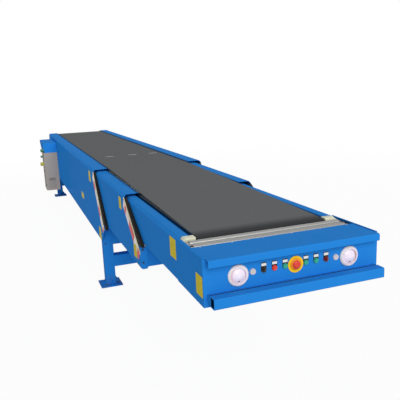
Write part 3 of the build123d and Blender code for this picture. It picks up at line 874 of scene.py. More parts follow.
@dataclass(frozen=True)
class LampLens(Finish):
    """Frosted headlamp lens with upright flutes and rings, the same on both lamps.

    Attributes:
        rim_color: Colour near its edge.
        middle_color: Colour of the bright spot in its middle.
        blush_color: Tint at its outer edge.
        flute_pitch: Distance from flute to flute.
        ring_rate: How close the rings at its edge stand.
        mark: Width and height of the moulded mark near its foot.
        mark_drop: How far the mark lies below the middle.
        mark_color: Colour of the mark.
    """

    rim_color: Color = GREY
    middle_color: Color = (0.95, 0.93, 0.96)
    blush_color: Color = (0.75, 0.42, 0.45)
    flute_pitch: float = 5 * MM
    ring_rate: float = 40.0
    mark: tuple[float, float] = (13 * MM, 7 * MM)
    mark_drop: float = 28 * MM
    mark_color: Color = (0.12, 0.1, 0.12)

    def fill(self) -> None:
        """Build the flutes and rings, the shades from the middle out, and the mark."""
        board, place, lens = self.board, self.board.axes(self.place), NodeBox("headlamp_lenses")
        radius = lens.size.z / 2
        aside = board.math("ABSOLUTE", board.math("SUBTRACT", place["Y"], lens.middle.y))
        across = board.math("SUBTRACT", aside, lens.size.y / 2 - radius)
        upward = board.math("SUBTRACT", place["Z"], lens.middle.z)
        square = board.math("ADD", board.math("POWER", across, 2.0), board.math("POWER", upward, 2.0))
        out = board.math("DIVIDE", board.math("SQRT", square), radius)
        flutes = board.math("COSINE", board.math("MULTIPLY", across, 2 * math.pi / self.flute_pitch))
        rings = board.math("COSINE", board.math("MULTIPLY", out, self.ring_rate))
        relief = board.math("ADD", flutes, board.math("MULTIPLY", rings, board.spread(out, 0.6, 0.7)))
        edge = board.spread(out, 0.72, 1.0)
        blush = board.math("MULTIPLY", edge, board.spread(across, 0.0, radius))
        wide, tall = self.mark
        narrow = board.spread(board.math("ABSOLUTE", across), wide / 2, wide / 3)
        rise = board.math("ABSOLUTE", board.math("ADD", upward, self.mark_drop))
        color = self.color
        for mask, tint in (
            (edge, self.rim_color),
            (board.spread(out, 0.0, 0.3, 0.35, 0.0), self.middle_color),
            (board.math("MULTIPLY", blush, 0.6), self.blush_color),
            (board.math("MULTIPLY", narrow, board.spread(rise, tall / 2, tall / 3)), self.mark_color),
        ):
            color = board.mix(mask, color, tint)
        board.put(
            self.shader, Base_Color=color, Roughness=0.16, Normal=board.bump(relief, 0.3, 0.4 * MM),
            Coat_Weight=0.15, Coat_Roughness=0.05,
        )


@dataclass(frozen=True)
class Reflective(Finish):
    """Retroreflective tape with its honeycomb of cells.

    Attributes:
        cell_scale: Number of cells in a metre.
        seam_shade: Brightness of the seams as a share of the colour's.
    """

    cell_scale: float = 240.0
    seam_shade: float = 0.6

    def fill(self) -> None:
        """Build the cells with darker seams."""
        board = self.board
        cells = board.add(
            "TexVoronoi", feature="DISTANCE_TO_EDGE",
            Vector=self.place, Scale=self.cell_scale, Randomness=0.15,
        )
        seam = board.spread(cells.outputs["Distance"], 0.0, 0.08)
        dark = tuple(channel * self.seam_shade for channel in self.color)
        color = self.tone(board.mix(seam, dark, self.color), 9.0, 0.3)
        normal = board.bump(seam, 0.2, 0.1 * MM)
        board.put(self.shader, Base_Color=color, Roughness=0.3, Normal=normal, Specular_IOR_Level=0.05)


class Finishes:
    """Every finish of the conveyor, built once."""

    def __init__(self) -> None:
        """Build the finishes."""
        belt_grey = linear(110, 112, 113)
        # hidden pieces get no floor dirt and no painted shade beside the belt
        satin, clear, hidden = (0.4, 0.55), (0.2, 0.3), {"grime_height": 0.0, "edge_shade": 0.0}
        self.frame_blue = Paint("frame_blue_powder_coat", (0.02, 0.235, 0.7))
        self.cabinet_grey = Paint(
            "cabinet_grey_textured_coat", linear(172, 164, 157), (0.42, 0.55), grain_scale=700.0,
            grain_strength=0.4, coat=0.0, dust=0.05, scuff=0.1, **hidden,
        )
        self.cover_grey = Paint("cabinet_cover_grey", linear(160, 154, 149), coat=0.0, scuff=0.1, **hidden)
        self.louvre_grey = Paint("cabinet_louvre_grey", linear(126, 122, 118), coat=0.0, scuff=0.1, **hidden)
        self.belt = Belting("belt_dark_grey", belt_grey)
        self.belt_plain = Belting("belt_span_grey", belt_grey, shading=NoseShade.NONE)
        self.belt_nose = Belting("belt_nose_span_grey", belt_grey, shading=NoseShade.LENGTH)
        self.zinc = Galvanised("galvanised_sheet", (0.56, 0.57, 0.58))
        self.seal = Rubber("black_brush_seal", (0.012, 0.011, 0.01))
        self.drum = TurnedMetal("turned_drum_steel", GREY)
        self.roller = TurnedMetal("drawn_aluminium", (0.3, 0.3, 0.29), (0.34, 0.48))
        self.bolt = TurnedMetal("zinc_plated_bolt", (0.5, 0.5, 0.49), (0.3, 0.45), 0.0)
        self.dark_bolt = TurnedMetal("blackened_bolt", (0.06, 0.06, 0.065), satin, 0.0)
        self.nylon = Plastic("cream_nylon", linear(228, 228, 200), (0.45, 0.6), 400.0, drift=0.12)
        self.lens = LampLens("frosted_lens", linear(248, 236, 250), rim_color=linear(240, 224, 240))
        self.lamp_rim = Plastic("off_white_lamp_rim", linear(238, 234, 230), (0.26, 0.36), coat=0.1)
        self.sensor = Plastic("grey_sensor_window", linear(206, 200, 202), (0.16, 0.26), coat=0.1)
        self.selector = TwoTonePlastic("selector_knobs", linear(30, 22, 20), left=linear(112, 16, 26))
        self.green = Plastic("green_cap", linear(52, 168, 140), coat=0.05)
        self.red = Plastic("red_cap", linear(228, 70, 56), coat=0.05)
        self.yellow = Plastic("yellow_cap", linear(250, 200, 24), coat=0.05)
        self.orange = Plastic("orange_ring", linear(242, 146, 28), coat=0.05)
        self.lamp_green = Plastic("green_lamp_lens", linear(66, 126, 92), clear, coat=0.2)
        self.lamp_yellow = Plastic("yellow_lamp_lens", linear(176, 170, 58), clear, coat=0.2)
        self.black = Plastic("black_plastic", linear(26, 26, 28), (0.32, 0.46))
        self.white = Plastic("white_plastic", linear(236, 236, 234))
        # navy colour painted in as the shade inside the bumper's open channel ends
        self.shade_plug = Plastic("painted_shade_end_plug", linear(2, 22, 46), (0.6, 0.7), specular=0.0)
        self.label = Plastic("yellow_label", linear(216, 196, 50), satin, 200.0, drift=0.3, specular=0.02)
        self.cream_strip = Plastic("cream_edge_strip", linear(226, 220, 186), satin, drift=0.3, specular=0.05)
        self.tape_red = Reflective("red_reflective_tape", linear(226, 44, 38))
        self.tape_white = Reflective("white_reflective_tape", linear(248, 234, 230))

    def dress_nodes(self) -> None:
        """Give every CAD node the finish of its material slot, and the cabinet's lamps their own."""
        by_name = {
            "frame_paint": self.frame_blue,
            "bed_sheet": self.zinc,
            "belt": self.belt,
            "seal": self.seal,
            "nylon": self.nylon,
            "drum_steel": self.drum,
            "roller": self.roller,
            "cabinet_paint": self.cabinet_grey,
            "lamp_rim": self.lamp_rim,
            "lamp_lens": self.lens,
            "sensor": self.sensor,
            "selector": self.selector,
            "green_cap": self.green,
            "red_cap": self.red,
            "yellow_cap": self.yellow,
            "carrier_lamp": self.lamp_green,
            "door_lamps_green": self.lamp_green,
            "door_lamps_yellow": self.lamp_yellow,
        }
        for part in frame["record"]["subparts"]:
            finish = by_name.get(part["node"], by_name[part["material_slot"]])
            for slot in frame["nodes"][part["node"]].material_slots:
                slot.material = finish.material


@dataclass(frozen=True)
class Fastener:
    """Hexagon bolt head or nut on a washer, modelled once and copied to its places.

    Attributes:
        flat: Width across the flats.
        height: Height of the head.
    """

    flat: float
    height: float
    washer_radius: float
    washer_thick: float = 2 * MM

    def build(self, name: str, places: list[Vector], axis: Axis, outward: Vector) -> Piece:
        """Model the fastener and copy it to its places.

        Args:
            name: Name of the joined piece.
            places: Points on the surface that it sits on.
            axis: Direction that it stands along.
            outward: Unit vector away from the surface.

        Returns:
            The joined piece.
        """
        thick, seat = self.washer_thick, self.washer_thick + self.height / 2
        washer = Piece.rod("washer", self.washer_radius, thick, outward * (thick / 2), axis, 24)
        head = Piece.rod("head", self.flat / math.sqrt(3), self.height, outward * seat, axis, 6)
        head.inset(outward, self.flat * 0.12).inset(outward, self.flat * 0.02, self.height * 0.08)
        return Piece.join(name, [washer.rounded(thick * 0.2, 1).obj, head.obj]).copies(places)


@dataclass(frozen=True)
class SunkScrew:
    """Flat screw head with a sunk middle, modelled once and copied to its places.

    Attributes:
        proud: How far it stands out of the face.
    """

    radius: float
    thick: float
    proud: float
    slot: float
    sides: int = 20

    def build(self, name: str, places: Iterable[Iterable[float]], outward: Vector = UP) -> Piece:
        """Model the screw and copy it to its places.

        Args:
            name: Name of the joined piece.
            places: Points on the face that it sits in.
            outward: Unit vector away from the face.

        Returns:
            The joined piece.
        """
        middle = outward * (self.proud - self.thick / 2)
        screw = Piece.rod(name, self.radius, self.thick, middle, Axis.Z, self.sides)
        return screw.inset(outward, 0.4 * self.radius, -self.slot).copies(places)


@dataclass
class SubAssembly:
    """Pieces of one part of the conveyor.

    Attributes:
        finishes: The conveyor's finishes.
    """

    finishes: Finishes

    def build(self) -> None:
        """Build and dress the pieces."""
        raise NotImplementedError


@dataclass
class SlantedEdge(SubAssembly):
    """Trim along one section's slanted front edge: edge strip, reflective tape and blank labels.

    Attributes:
        section: First word of the section's nodes.
        body: Body that it rides on.
        slope_run: Length of the slanted edge along X, or zero where the section has none.
        knee_rise: Height of its lower end over the plate's bottom edge.
        labels: Blank labels as left, right, low and high edges from the plate's front knee and the floor.
        bands: Bands of tape from the upper end down: colour, and start and end as shares of the edge.
        corner_drop: Drop from the plate's top to the edge's upper end.
        strip_width: How far the strip reaches over the plate.
    """

    section: str
    body: str
    slope_run: float
    knee_rise: float
    labels: tuple[tuple[float, float, float, float], ...]
    bands: tuple[tuple[str, float, float], ...] = ()
    corner_drop: float = 20 * MM
    strip_width: float = 8 * MM
    strip_wall: float = 1 * MM
    tape_width: float = 72 * MM
    tape_gap: float = 1 * MM
    tape_thick: float = 0.5 * MM
    label_thick: float = 0.6 * MM

    def __post_init__(self) -> None:
        """Measure the slanted edge on the right plate's outer face."""
        self.plate = NodeBox(f"{self.section}_side_right")
        knee, face = self.plate.high.x, self.plate.low.y
        self.upper = Vector((knee - self.slope_run, face, self.plate.high.z - self.corner_drop))
        run = Vector((knee, face, self.plate.low.z + self.knee_rise)) - self.upper
        self.length, self.way = run.length, run.normalized()
        self.inward = Vector((self.way.z, 0.0, -self.way.x))
        self.turn = (0.0, math.atan2(-run.z, run.x), 0.0)

    def strip(self) -> None:
        """Edge strip: a channel pushed over the cut edge of the sheet."""
        size = (self.length, PLATE_THICK + 2 * self.strip_wall, self.strip_width)
        at = self.upper + self.way * self.length / 2 + self.inward * (self.strip_width / 2 - self.strip_wall)
        strip = Piece.box(f"{self.section}_edge_strip", size, at - RIGHTWARD * PLATE_THICK / 2, self.turn)
        strip.inset(self.inward, self.strip_wall, 2 * self.strip_wall - self.strip_width).rounded(1 * MM)
        strip.both_sides().fit(self.finishes.cream_strip, self.body, "nylon")

    def tape(self) -> None:
        """Bands of reflective tape beside the strip."""
        inward = self.inward * (self.strip_width + self.tape_gap + self.tape_width / 2)
        for word, finish in (("red", self.finishes.tape_red), ("white", self.finishes.tape_white)):
            bands = []
            for first, last in (band[1:] for band in self.bands if band[0] == word):
                size = ((last - first) * self.length - self.tape_gap, self.tape_thick, self.tape_width)
                at = self.upper + self.way * (self.length * (first + last) / 2) + inward
                band = Piece.box("tape", size, at + RIGHTWARD * self.tape_thick / 2, self.turn)
                bands.append(band.inset(RIGHTWARD, 1.5 * MM, 0.15 * MM).obj)
            joined = Piece.join(f"{self.section}_tape_{word}", bands)
            joined.both_sides().fit(finish, self.body, "sensor")

    def blank_labels(self) -> None:
        """Blank yellow labels on the side plates."""
        knee, face = self.plate.high.x, self.plate.low.y
        labels = []
        for left, right, bottom, top in self.labels:
            at = ((left + right) / 2 + knee, face - self.label_thick / 2, (bottom + top) / 2)
            label = Piece.box("label", (right - left, self.label_thick, top - bottom), at)
            labels.append(label.inset(RIGHTWARD, 3 * MM, 0.1 * MM).obj)
        joined = Piece.join(f"{self.section}_labels", labels)
        joined.both_sides().fit(self.finishes.label, self.body, "yellow_cap")

    def build(self) -> None:
        """Build and dress the trim of this section."""
        if self.slope_run:
            self.strip()
            self.tape()
        self.blank_labels()


@dataclass
class BeltSpan(SubAssembly):
    """Taut belt from one section's belt down to the next one's.

    Attributes:
        belts: Belt nodes that it starts and ends on.
        bodies: Bodies of its two ends, named in the log.
        start: Where it starts along X, behind the bend.
        bend: Where it leaves the first belt.
        end: Where it ends.
        end_lift: How far its underside lies over the second belt.
        start_lift: How far its underside lies over the first belt.
        least_thick: Thickness where it lies on a belt.
        most_thick: Thickness where it spans freely.
        cuts: Number of cuts across its length.
    """

    name: str
    belts: tuple[str, str]
    bodies: tuple[str, str]
    finish: Finish
    start: float
    bend: float
    end: float
    end_lift: float
    start_lift: float = 0.2 * MM
    least_thick: float = 0.6 * MM
    most_thick: float = 4 * MM
    cuts: int = 90

    def __post_init__(self) -> None:
        """Measure the two belts."""
        self.rear, self.front = (NodeBox(belt) for belt in self.belts)

    def under(self, x: float) -> float:
        """Height of the belts under it at a place along X.

        Args:
            x: The place.

        Returns:
            Height of the belts' top there.
        """
        top, landing = self.rear.high.z, self.front.high.z
        drop = max(0.0, x - self.bend) / (self.rear.high.x - self.bend) * (top - landing - RAMP_LIFT)
        return max(top - drop, landing) if x <= self.rear.high.x else landing

    def surface(self, x: float) -> float:
        """Height of its upper face at a place along X.

        Args:
            x: The place.

        Returns:
            Height of the span's top there.
        """
        first, last = self.rear.high.z + self.start_lift, self.front.high.z + self.end_lift
        share = max(0.0, (x - self.bend) / (self.end - self.bend))
        return first + self.least_thick + (last - first) * share

    def build(self) -> None:
        """Build and dress the span."""
        Piece.clear()
        bpy.ops.mesh.primitive_grid_add(
            x_subdivisions=self.cuts, y_subdivisions=2, size=1.0,
            location=((self.start + self.end) / 2, self.front.middle.y, 0.0),
        )
        bpy.context.active_object.scale = (self.end - self.start, self.front.size.y, 1.0)
        sheet = Piece(self.name)
        sheet.edit()
        bpy.ops.mesh.extrude_region_move(TRANSFORM_OT_translate={"value": (0.0, 0.0, -1.0)})
        bpy.ops.mesh.select_all(action="SELECT")
        bpy.ops.mesh.normals_make_consistent(inside=False)
        for vertex in sheet.close().obj.data.vertices:
            top = self.surface(vertex.co.x)
            room = top - self.under(vertex.co.x) - self.start_lift
            thick = min(self.most_thick, max(self.least_thick, room))
            vertex.co.z = top - (thick if vertex.co.z < -0.5 else 0.0)
        obj = sheet.dress(self.finish, 60.0)
        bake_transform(obj)
        LOG.info("%s runs from %s to %s", self.name, *self.bodies)


@dataclass
class PanelDress(SubAssembly):
    """What stands on the nose panel besides the CAD controls: legend plates, rings and screws.

    Attributes:
        pitch: Distance from control to control.
        places: Controls that have a legend plate, counted from the emergency stop.
        holder: Thickness, width and height of a plate's holder.
        field: Thickness, width and height of a plate's blank field.
        field_rise: Height of the field over the control.
        stop_radius: Radius of the ring round the emergency stop.
        lens_ring: Width of the ring round a lens, and how much of it lies over the lens.
        rim_screw: Radius and thickness of a screw in a lamp's rim.
        rim_screw_turns: Places of these screws in degrees round the lamp.
    """

    pitch: float = 60 * MM
    places: tuple[int, ...] = (-3, -2, -1, 1, 2, 3)
    holder: tuple[float, float, float] = (2 * MM, 30 * MM, 46 * MM)
    field: tuple[float, float, float] = (1.6 * MM, 27 * MM, 14 * MM)
    field_rise: float = 27 * MM
    stop_radius: float = 31 * MM
    stop_thick: float = 6 * MM
    lens_ring: tuple[float, float] = (5.5 * MM, 1 * MM)
    lens_ring_thick: float = 3 * MM
    lens_ring_deep: float = 2.5 * MM
    rim_screw: tuple[float, float] = (2.6 * MM, 2 * MM)
    rim_screw_turns: tuple[int, ...] = (30, 150, 270)
    body: str = "front_boom"

    def __post_init__(self) -> None:
        """Measure the emergency stop's middle on the panel's face."""
        plate = NodeBox("emergency_stop_plate")
        self.stop = Vector((plate.low.x, plate.middle.y, plate.middle.z))

    def legend_plates(self) -> None:
        """Black holders behind the buttons, with a blank white field above each."""
        steps = [(0.0, place * self.pitch, 0.0) for place in self.places]
        thick, _, tall = self.holder
        holder = Piece.box("legend_holders", self.holder, self.stop + Vector((thick / 2, 0.0, tall * 0.33)))
        holder.inset(FORWARD, 1.5 * MM, -0.5 * MM).rounded(0.6 * MM)
        holder.copies(steps).fit(self.finishes.black, self.body, "selector")
        at = self.stop + Vector((thick + 0.2 * MM, 0.0, self.field_rise))
        plate = Piece.box("legend_fields", self.field, at).rounded(0.7 * MM, 3)
        plate.copies(steps).fit(self.finishes.white, self.body, "lamp_rim")

    def stop_ring(self) -> None:
        """Raised ring between the emergency stop's plate and its head."""
        at = self.stop + FORWARD * self.stop_thick / 2
        ring = Piece.rod("emergency_stop_ring", self.stop_radius, self.stop_thick, at, Axis.X, 48)
        ring.inset(FORWARD, 4 * MM, 2.5 * MM).inset(FORWARD, 6 * MM).rounded(0.8 * MM)
        ring.fit(self.finishes.orange, self.body, "yellow_cap")

    def lamp_rings(self) -> None:
        """Retaining ring round each lens, and three screws in each rim."""
        rims, lens_radius = NodeBox("headlamp_rims"), NodeBox("headlamp_lenses").size.z / 2
        rim_radius, face = rims.size.z / 2, rims.high.x
        first, apart = rims.low.y + rim_radius, rims.size.y - 2 * rim_radius
        middle_z = NodeBox("headlamp_lenses").middle.z
        width, over_lens = self.lens_ring
        radius, at = lens_radius + width - over_lens, (face + 0.5 * MM, first, middle_z)
        ring = Piece.rod("lamp_rings", radius, self.lens_ring_thick, at, Axis.X, 64)
        ring.edit(FORWARD)
        bpy.ops.mesh.inset(thickness=width, depth=0.0)
        bpy.ops.mesh.extrude_region_move(TRANSFORM_OT_translate={"value": (-self.lens_ring_deep, 0.0, 0.0)})
        bpy.ops.mesh.delete(type="FACE")
        ring.edit(-FORWARD)
        bpy.ops.mesh.delete(type="FACE")
        rings = ring.close().copies([(0.0, 0.0, 0.0), (0.0, apart, 0.0)])
        rings.fit(self.finishes.lens, self.body, "roller")
        reach = (lens_radius + rim_radius) / 2
        screw = Piece.rod("lamp_screws", *self.rim_screw, (face, first, middle_z), Axis.X, 16)
        turns = [math.radians(angle) for angle in self.rim_screw_turns]
        places = [
            (0.0, aside + reach * math.cos(turn), reach * math.sin(turn))
            for aside in (0.0, apart) for turn in turns
        ]
        screws = screw.inset(FORWARD, 0.8 * MM, -0.5 * MM).copies(places)
        screws.fit(self.finishes.lamp_rim, self.body, "roller")

    def build(self) -> None:
        """Build and dress what stands on the panel."""
        self.legend_plates()
        self.stop_ring()
        self.lamp_rings()


@dataclass
class NoseDress(SubAssembly):
    """Small pieces round the nose: dark plugs that paint the shade in the bumper's open ends, packings, guard
    strip, and a black strip that paints the shadow of the gap behind the bumper.

    Attributes:
        play: Gap that the pieces leave to their neighbours.
        bumper_wall: Thickness of the bumper's sheet.
        plug_deep: How far the plugs reach into the bumper.
        plug_inset: How far they lie inside its ends.
        packing_height: Height of the packings beside the nylon blocks.
        packing_fall: How far their top falls towards the side plate.
        roller_clear: Gap from the guard strip to each roller.
        guard_drop: How far the guard strip lies under the rear roller's top.
        seal: Width and thickness of the black strip behind the bumper, which paints the shadow of the gap
            between panel and bumper.
    """

    play: float = 0.5 * MM
    bumper_wall: float = 3 * MM
    plug_deep: float = 12 * MM
    plug_inset: float = 3 * MM
    packing_height: float = 40 * MM
    packing_fall: float = 22 * MM
    roller_clear: float = 8 * MM
    guard_drop: float = 12 * MM
    guard_thick: float = 3 * MM
    seal: tuple[float, float] = (12 * MM, 2 * MM)
    body: str = "front_boom"

    def __post_init__(self) -> None:
        """Measure the inner face of the right side plate, and the bumper."""
        self.plate_inside = NodeBox("front_side_right").low.y + PLATE_THICK + self.play
        self.bumper, self.rail = NodeBox("bumper"), NodeBox("bumper_rail")

    def shade_plugs(self) -> None:
        """Navy plug in each open end of the bumper, in front of the rail, as painted shade inside the open
        channel.
        """
        bumper, inset = self.bumper, self.bumper_wall + self.play
        rear, front = self.rail.high.x + self.play, bumper.high.x - inset
        side = bumper.low.y + self.plug_inset + self.plug_deep / 2
        size = (front - rear, self.plug_deep, bumper.size.z - 2 * inset)
        plug = Piece.box("bumper_shade_plugs", size, ((rear + front) / 2, side, bumper.middle.z))
        plug.inset(RIGHTWARD, 3 * MM, -2 * MM).rounded(0.8 * MM)
        plug.both_sides().fit(self.finishes.shade_plug, self.body, "seal")

    def packings(self) -> None:
        """Nylon packing with a sloping top between each block and its side plate."""
        block, outer = NodeBox("nose_block_right"), self.plate_inside
        inner, top = block.low.y - self.play, block.high.z - 3 * self.play
        size = (block.size.x - 2 * self.play, inner - outer, self.packing_height)
        at = Vector((block.middle.x, (inner + outer) / 2, top - self.packing_height / 2))
        packing = Piece.box("block_packings", size, at)
        for vertex in packing.obj.data.vertices:
            if vertex.co.y < at.y and vertex.co.z > at.z:
                vertex.co.z -= self.packing_fall
        packing.rounded(1.5 * MM).both_sides().fit(self.finishes.nylon, self.body, "nylon")

    def guard(self) -> None:
        """Metal strip that closes the gap between the two rollers."""
        rear, front = NodeBox("transfer_roller_rear").high, NodeBox("transfer_roller_front").low
        length, width = front.x - rear.x - 2 * self.roller_clear, 2 * (MIDDLE_Y - self.plate_inside)
        size = (length, width, self.guard_thick)
        strip = Piece.box("roller_guard", size, ((front.x + rear.x) / 2, MIDDLE_Y, rear.z - self.guard_drop))
        strip.inset(UP, 2 * MM, 0.5 * MM).rounded(0.5 * MM).fit(self.finishes.roller, self.body, "roller")

    def bumper_shadow_strip(self) -> None:
        """Black strip along the rail, right behind the bumper, as painted shadow of the gap between panel and
        bumper.
        """
        wide, thick = self.seal
        at = (self.bumper.low.x - self.play - wide / 2, MIDDLE_Y, self.rail.high.z + thick / 2)
        # black strip in the seal finish that stands for the shadow in the gap between panel and bumper
        seal = Piece.box("bumper_shadow_strip", (wide, self.bumper.size.y - 4 * MM, thick), at)
        seal.rounded(0.6 * MM).fit(self.finishes.seal, self.body, "seal")

    def build(self) -> None:
        """Build and dress the small pieces."""
        self.shade_plugs()
        self.packings()
        self.guard()
        self.bumper_shadow_strip()


@dataclass
class Fixings(SubAssembly):
    """Bolts, nuts and screws that show on the frame.

    Attributes:
        bracket_heights: Heights of the bolts in the corner brackets.
        bracket_inset: Distance of these from the beam's ends.
        post_outset: Distance of the posts' bolts outside the leg beams' ends.
        post_height: Height of the posts' bolts.
        bearing_reach: Distance of the bearings' bolts from the shaft, along X and Z.
        block_shares: Places of the screws along a nylon block, as shares of its length.
        hood_count: Number of screws in the hood.
        hood_inset: Distance of the outer ones from its ends, and of all from its rear edge.
        floor_pitch: Distance from screw to screw under the floor pans.
        floor_inset: Distance of these from the pan's end and the plate's outer face.
        slide_screw: Screw in a flange that slides over a support bar.
    """

    face_bolt: Fastener = Fastener(11 * MM, 5 * MM, 7 * MM, 1.5 * MM)
    bearing_bolt: Fastener = Fastener(17 * MM, 8 * MM, 11 * MM)
    floor_bolt: Fastener = Fastener(10 * MM, 4 * MM, 8 * MM, 1.2 * MM)
    slide_screw: SunkScrew = SunkScrew(6 * MM, 1.2 * MM, 0.12 * MM, 0.8 * MM)
    block_screw: SunkScrew = SunkScrew(5 * MM, 1.2 * MM, 0.8 * MM, 0.7 * MM)
    hood_screw: SunkScrew = SunkScrew(4 * MM, 1 * MM, 0.6 * MM, 0.5 * MM, 18)
    bracket_heights: tuple[float, ...] = (0.675, 0.768)
    bracket_inset: float = 17 * MM
    post_outset: float = 75 * MM
    post_height: float = 0.42
    bearing_reach: float = 33 * MM
    block_shares: tuple[float, float] = (0.28, 0.72)
    hood_count: int = 6
    hood_inset: tuple[float, float] = (45 * MM, 14 * MM)
    floor_pitch: float = 300 * MM
    floor_inset: float = 30 * MM

    def face_bolts(self) -> None:
        """Two bolts in each corner bracket of the middle boom, and one in each front post."""
        for name, node, body, inset, heights in (
            ("bracket_bolts", "middle_front_beam", "middle_boom", self.bracket_inset, self.bracket_heights),
            ("post_bolts", "front_leg_beams", "base", -self.post_outset, (self.post_height,)),
        ):
            low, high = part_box(node)
            places = [Vector((high.x, y, z)) for y in (low.y + inset, high.y - inset) for z in heights]
            bolts = self.face_bolt.build(name, places, Axis.X, FORWARD)
            bolts.fit(self.finishes.dark_bolt, body, "roller")

    def bearing_bolts(self) -> None:
        """Four bolts round each end of the tail shaft, through the side plates."""
        drum, face, reach = NodeBox("tail_drum").middle, NodeBox("base_side_right").low.y, self.bearing_reach
        steps = (-reach, reach)
        places = [Vector((drum.x + along, face, drum.z + up)) for along in steps for up in steps]
        bolts = self.bearing_bolt.build("bearing_bolts", places, Axis.Y, RIGHTWARD)
        bolts.both_sides().fit(self.finishes.bolt, "base", "roller")

    def nose_screws(self) -> None:
        """Two sunk screws in each nylon block, and a row along the hood's rear edge."""
        blocks = [NodeBox(f"nose_block_{side}") for side in ("right", "left")]
        places = [
            (block.low.x + block.size.x * share, block.middle.y, block.high.z)
            for block in blocks for share in self.block_shares
        ]
        self.block_screw.build("block_screws", places).fit(self.finishes.bolt, "front_boom", "roller")
        hood, (from_end, from_edge) = NodeBox("nose_hood"), self.hood_inset
        step = (hood.size.y - 2 * from_end) / (self.hood_count - 1)
        start, top = hood.low.y + from_end, hood.high.z
        places = [(hood.low.x + from_edge, start + i * step, top) for i in range(self.hood_count)]
        self.hood_screw.build("hood_screws", places).fit(self.finishes.bolt, "front_boom", "roller")

    def floor_screws(self) -> None:
        """Rows of screws through each section's bottom flanges, flush where the section slides on a bar."""
        edge = self.floor_inset
        for section, body in (("base", "base"), ("middle", "middle_boom"), ("front", "front_boom")):
            name, pan = f"{section}_floor_screws", NodeBox(f"{section}_floor")
            flange = NodeBox(f"{section}_side_right")
            count = int((pan.size.x - 2 * edge) // self.floor_pitch) + 1
            start = Vector((pan.low.x + edge, flange.low.y + edge, flange.low.z))
            places = [start + FORWARD * i * self.floor_pitch for i in range(count)]
            if body == "base":
                screws = self.floor_bolt.build(name, places, Axis.Z, -UP)
            else:
                screws = self.slide_screw.build(name, places, -UP)
            screws.both_sides().fit(self.finishes.bolt, body, "roller")

    def build(self) -> None:
        """Build and dress every fixing."""
        self.face_bolts()
        self.bearing_bolts()
        self.nose_screws()
        self.floor_screws()


@dataclass
class BeltSplice(SubAssembly):
    """Joint of the belt across the base, seen as a row of pale dashes.

    Attributes:
        ahead: Distance from the belt's rear end.
        dash: Width, length and thickness of a dash.
        places: Side places of the dashes from the belt's centreline.
    """

    ahead: float = 4.28
    dash: tuple[float, float, float] = (14 * MM, 106 * MM, 0.4 * MM)
    places: tuple[float, ...] = (-209 * MM, 62 * MM, 313 * MM)

    def build(self) -> None:
        """Build and dress the splice."""
        low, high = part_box("base_belt")
        dash = Piece.box("belt_splice", self.dash, (low.x + self.ahead, MIDDLE_Y, high.z))
        dashes = dash.inset(UP, 1.2 * MM, 0.1 * MM).copies([(0.0, place, 0.0) for place in self.places])
        dashes.fit(self.finishes.sensor, "base", "belt")


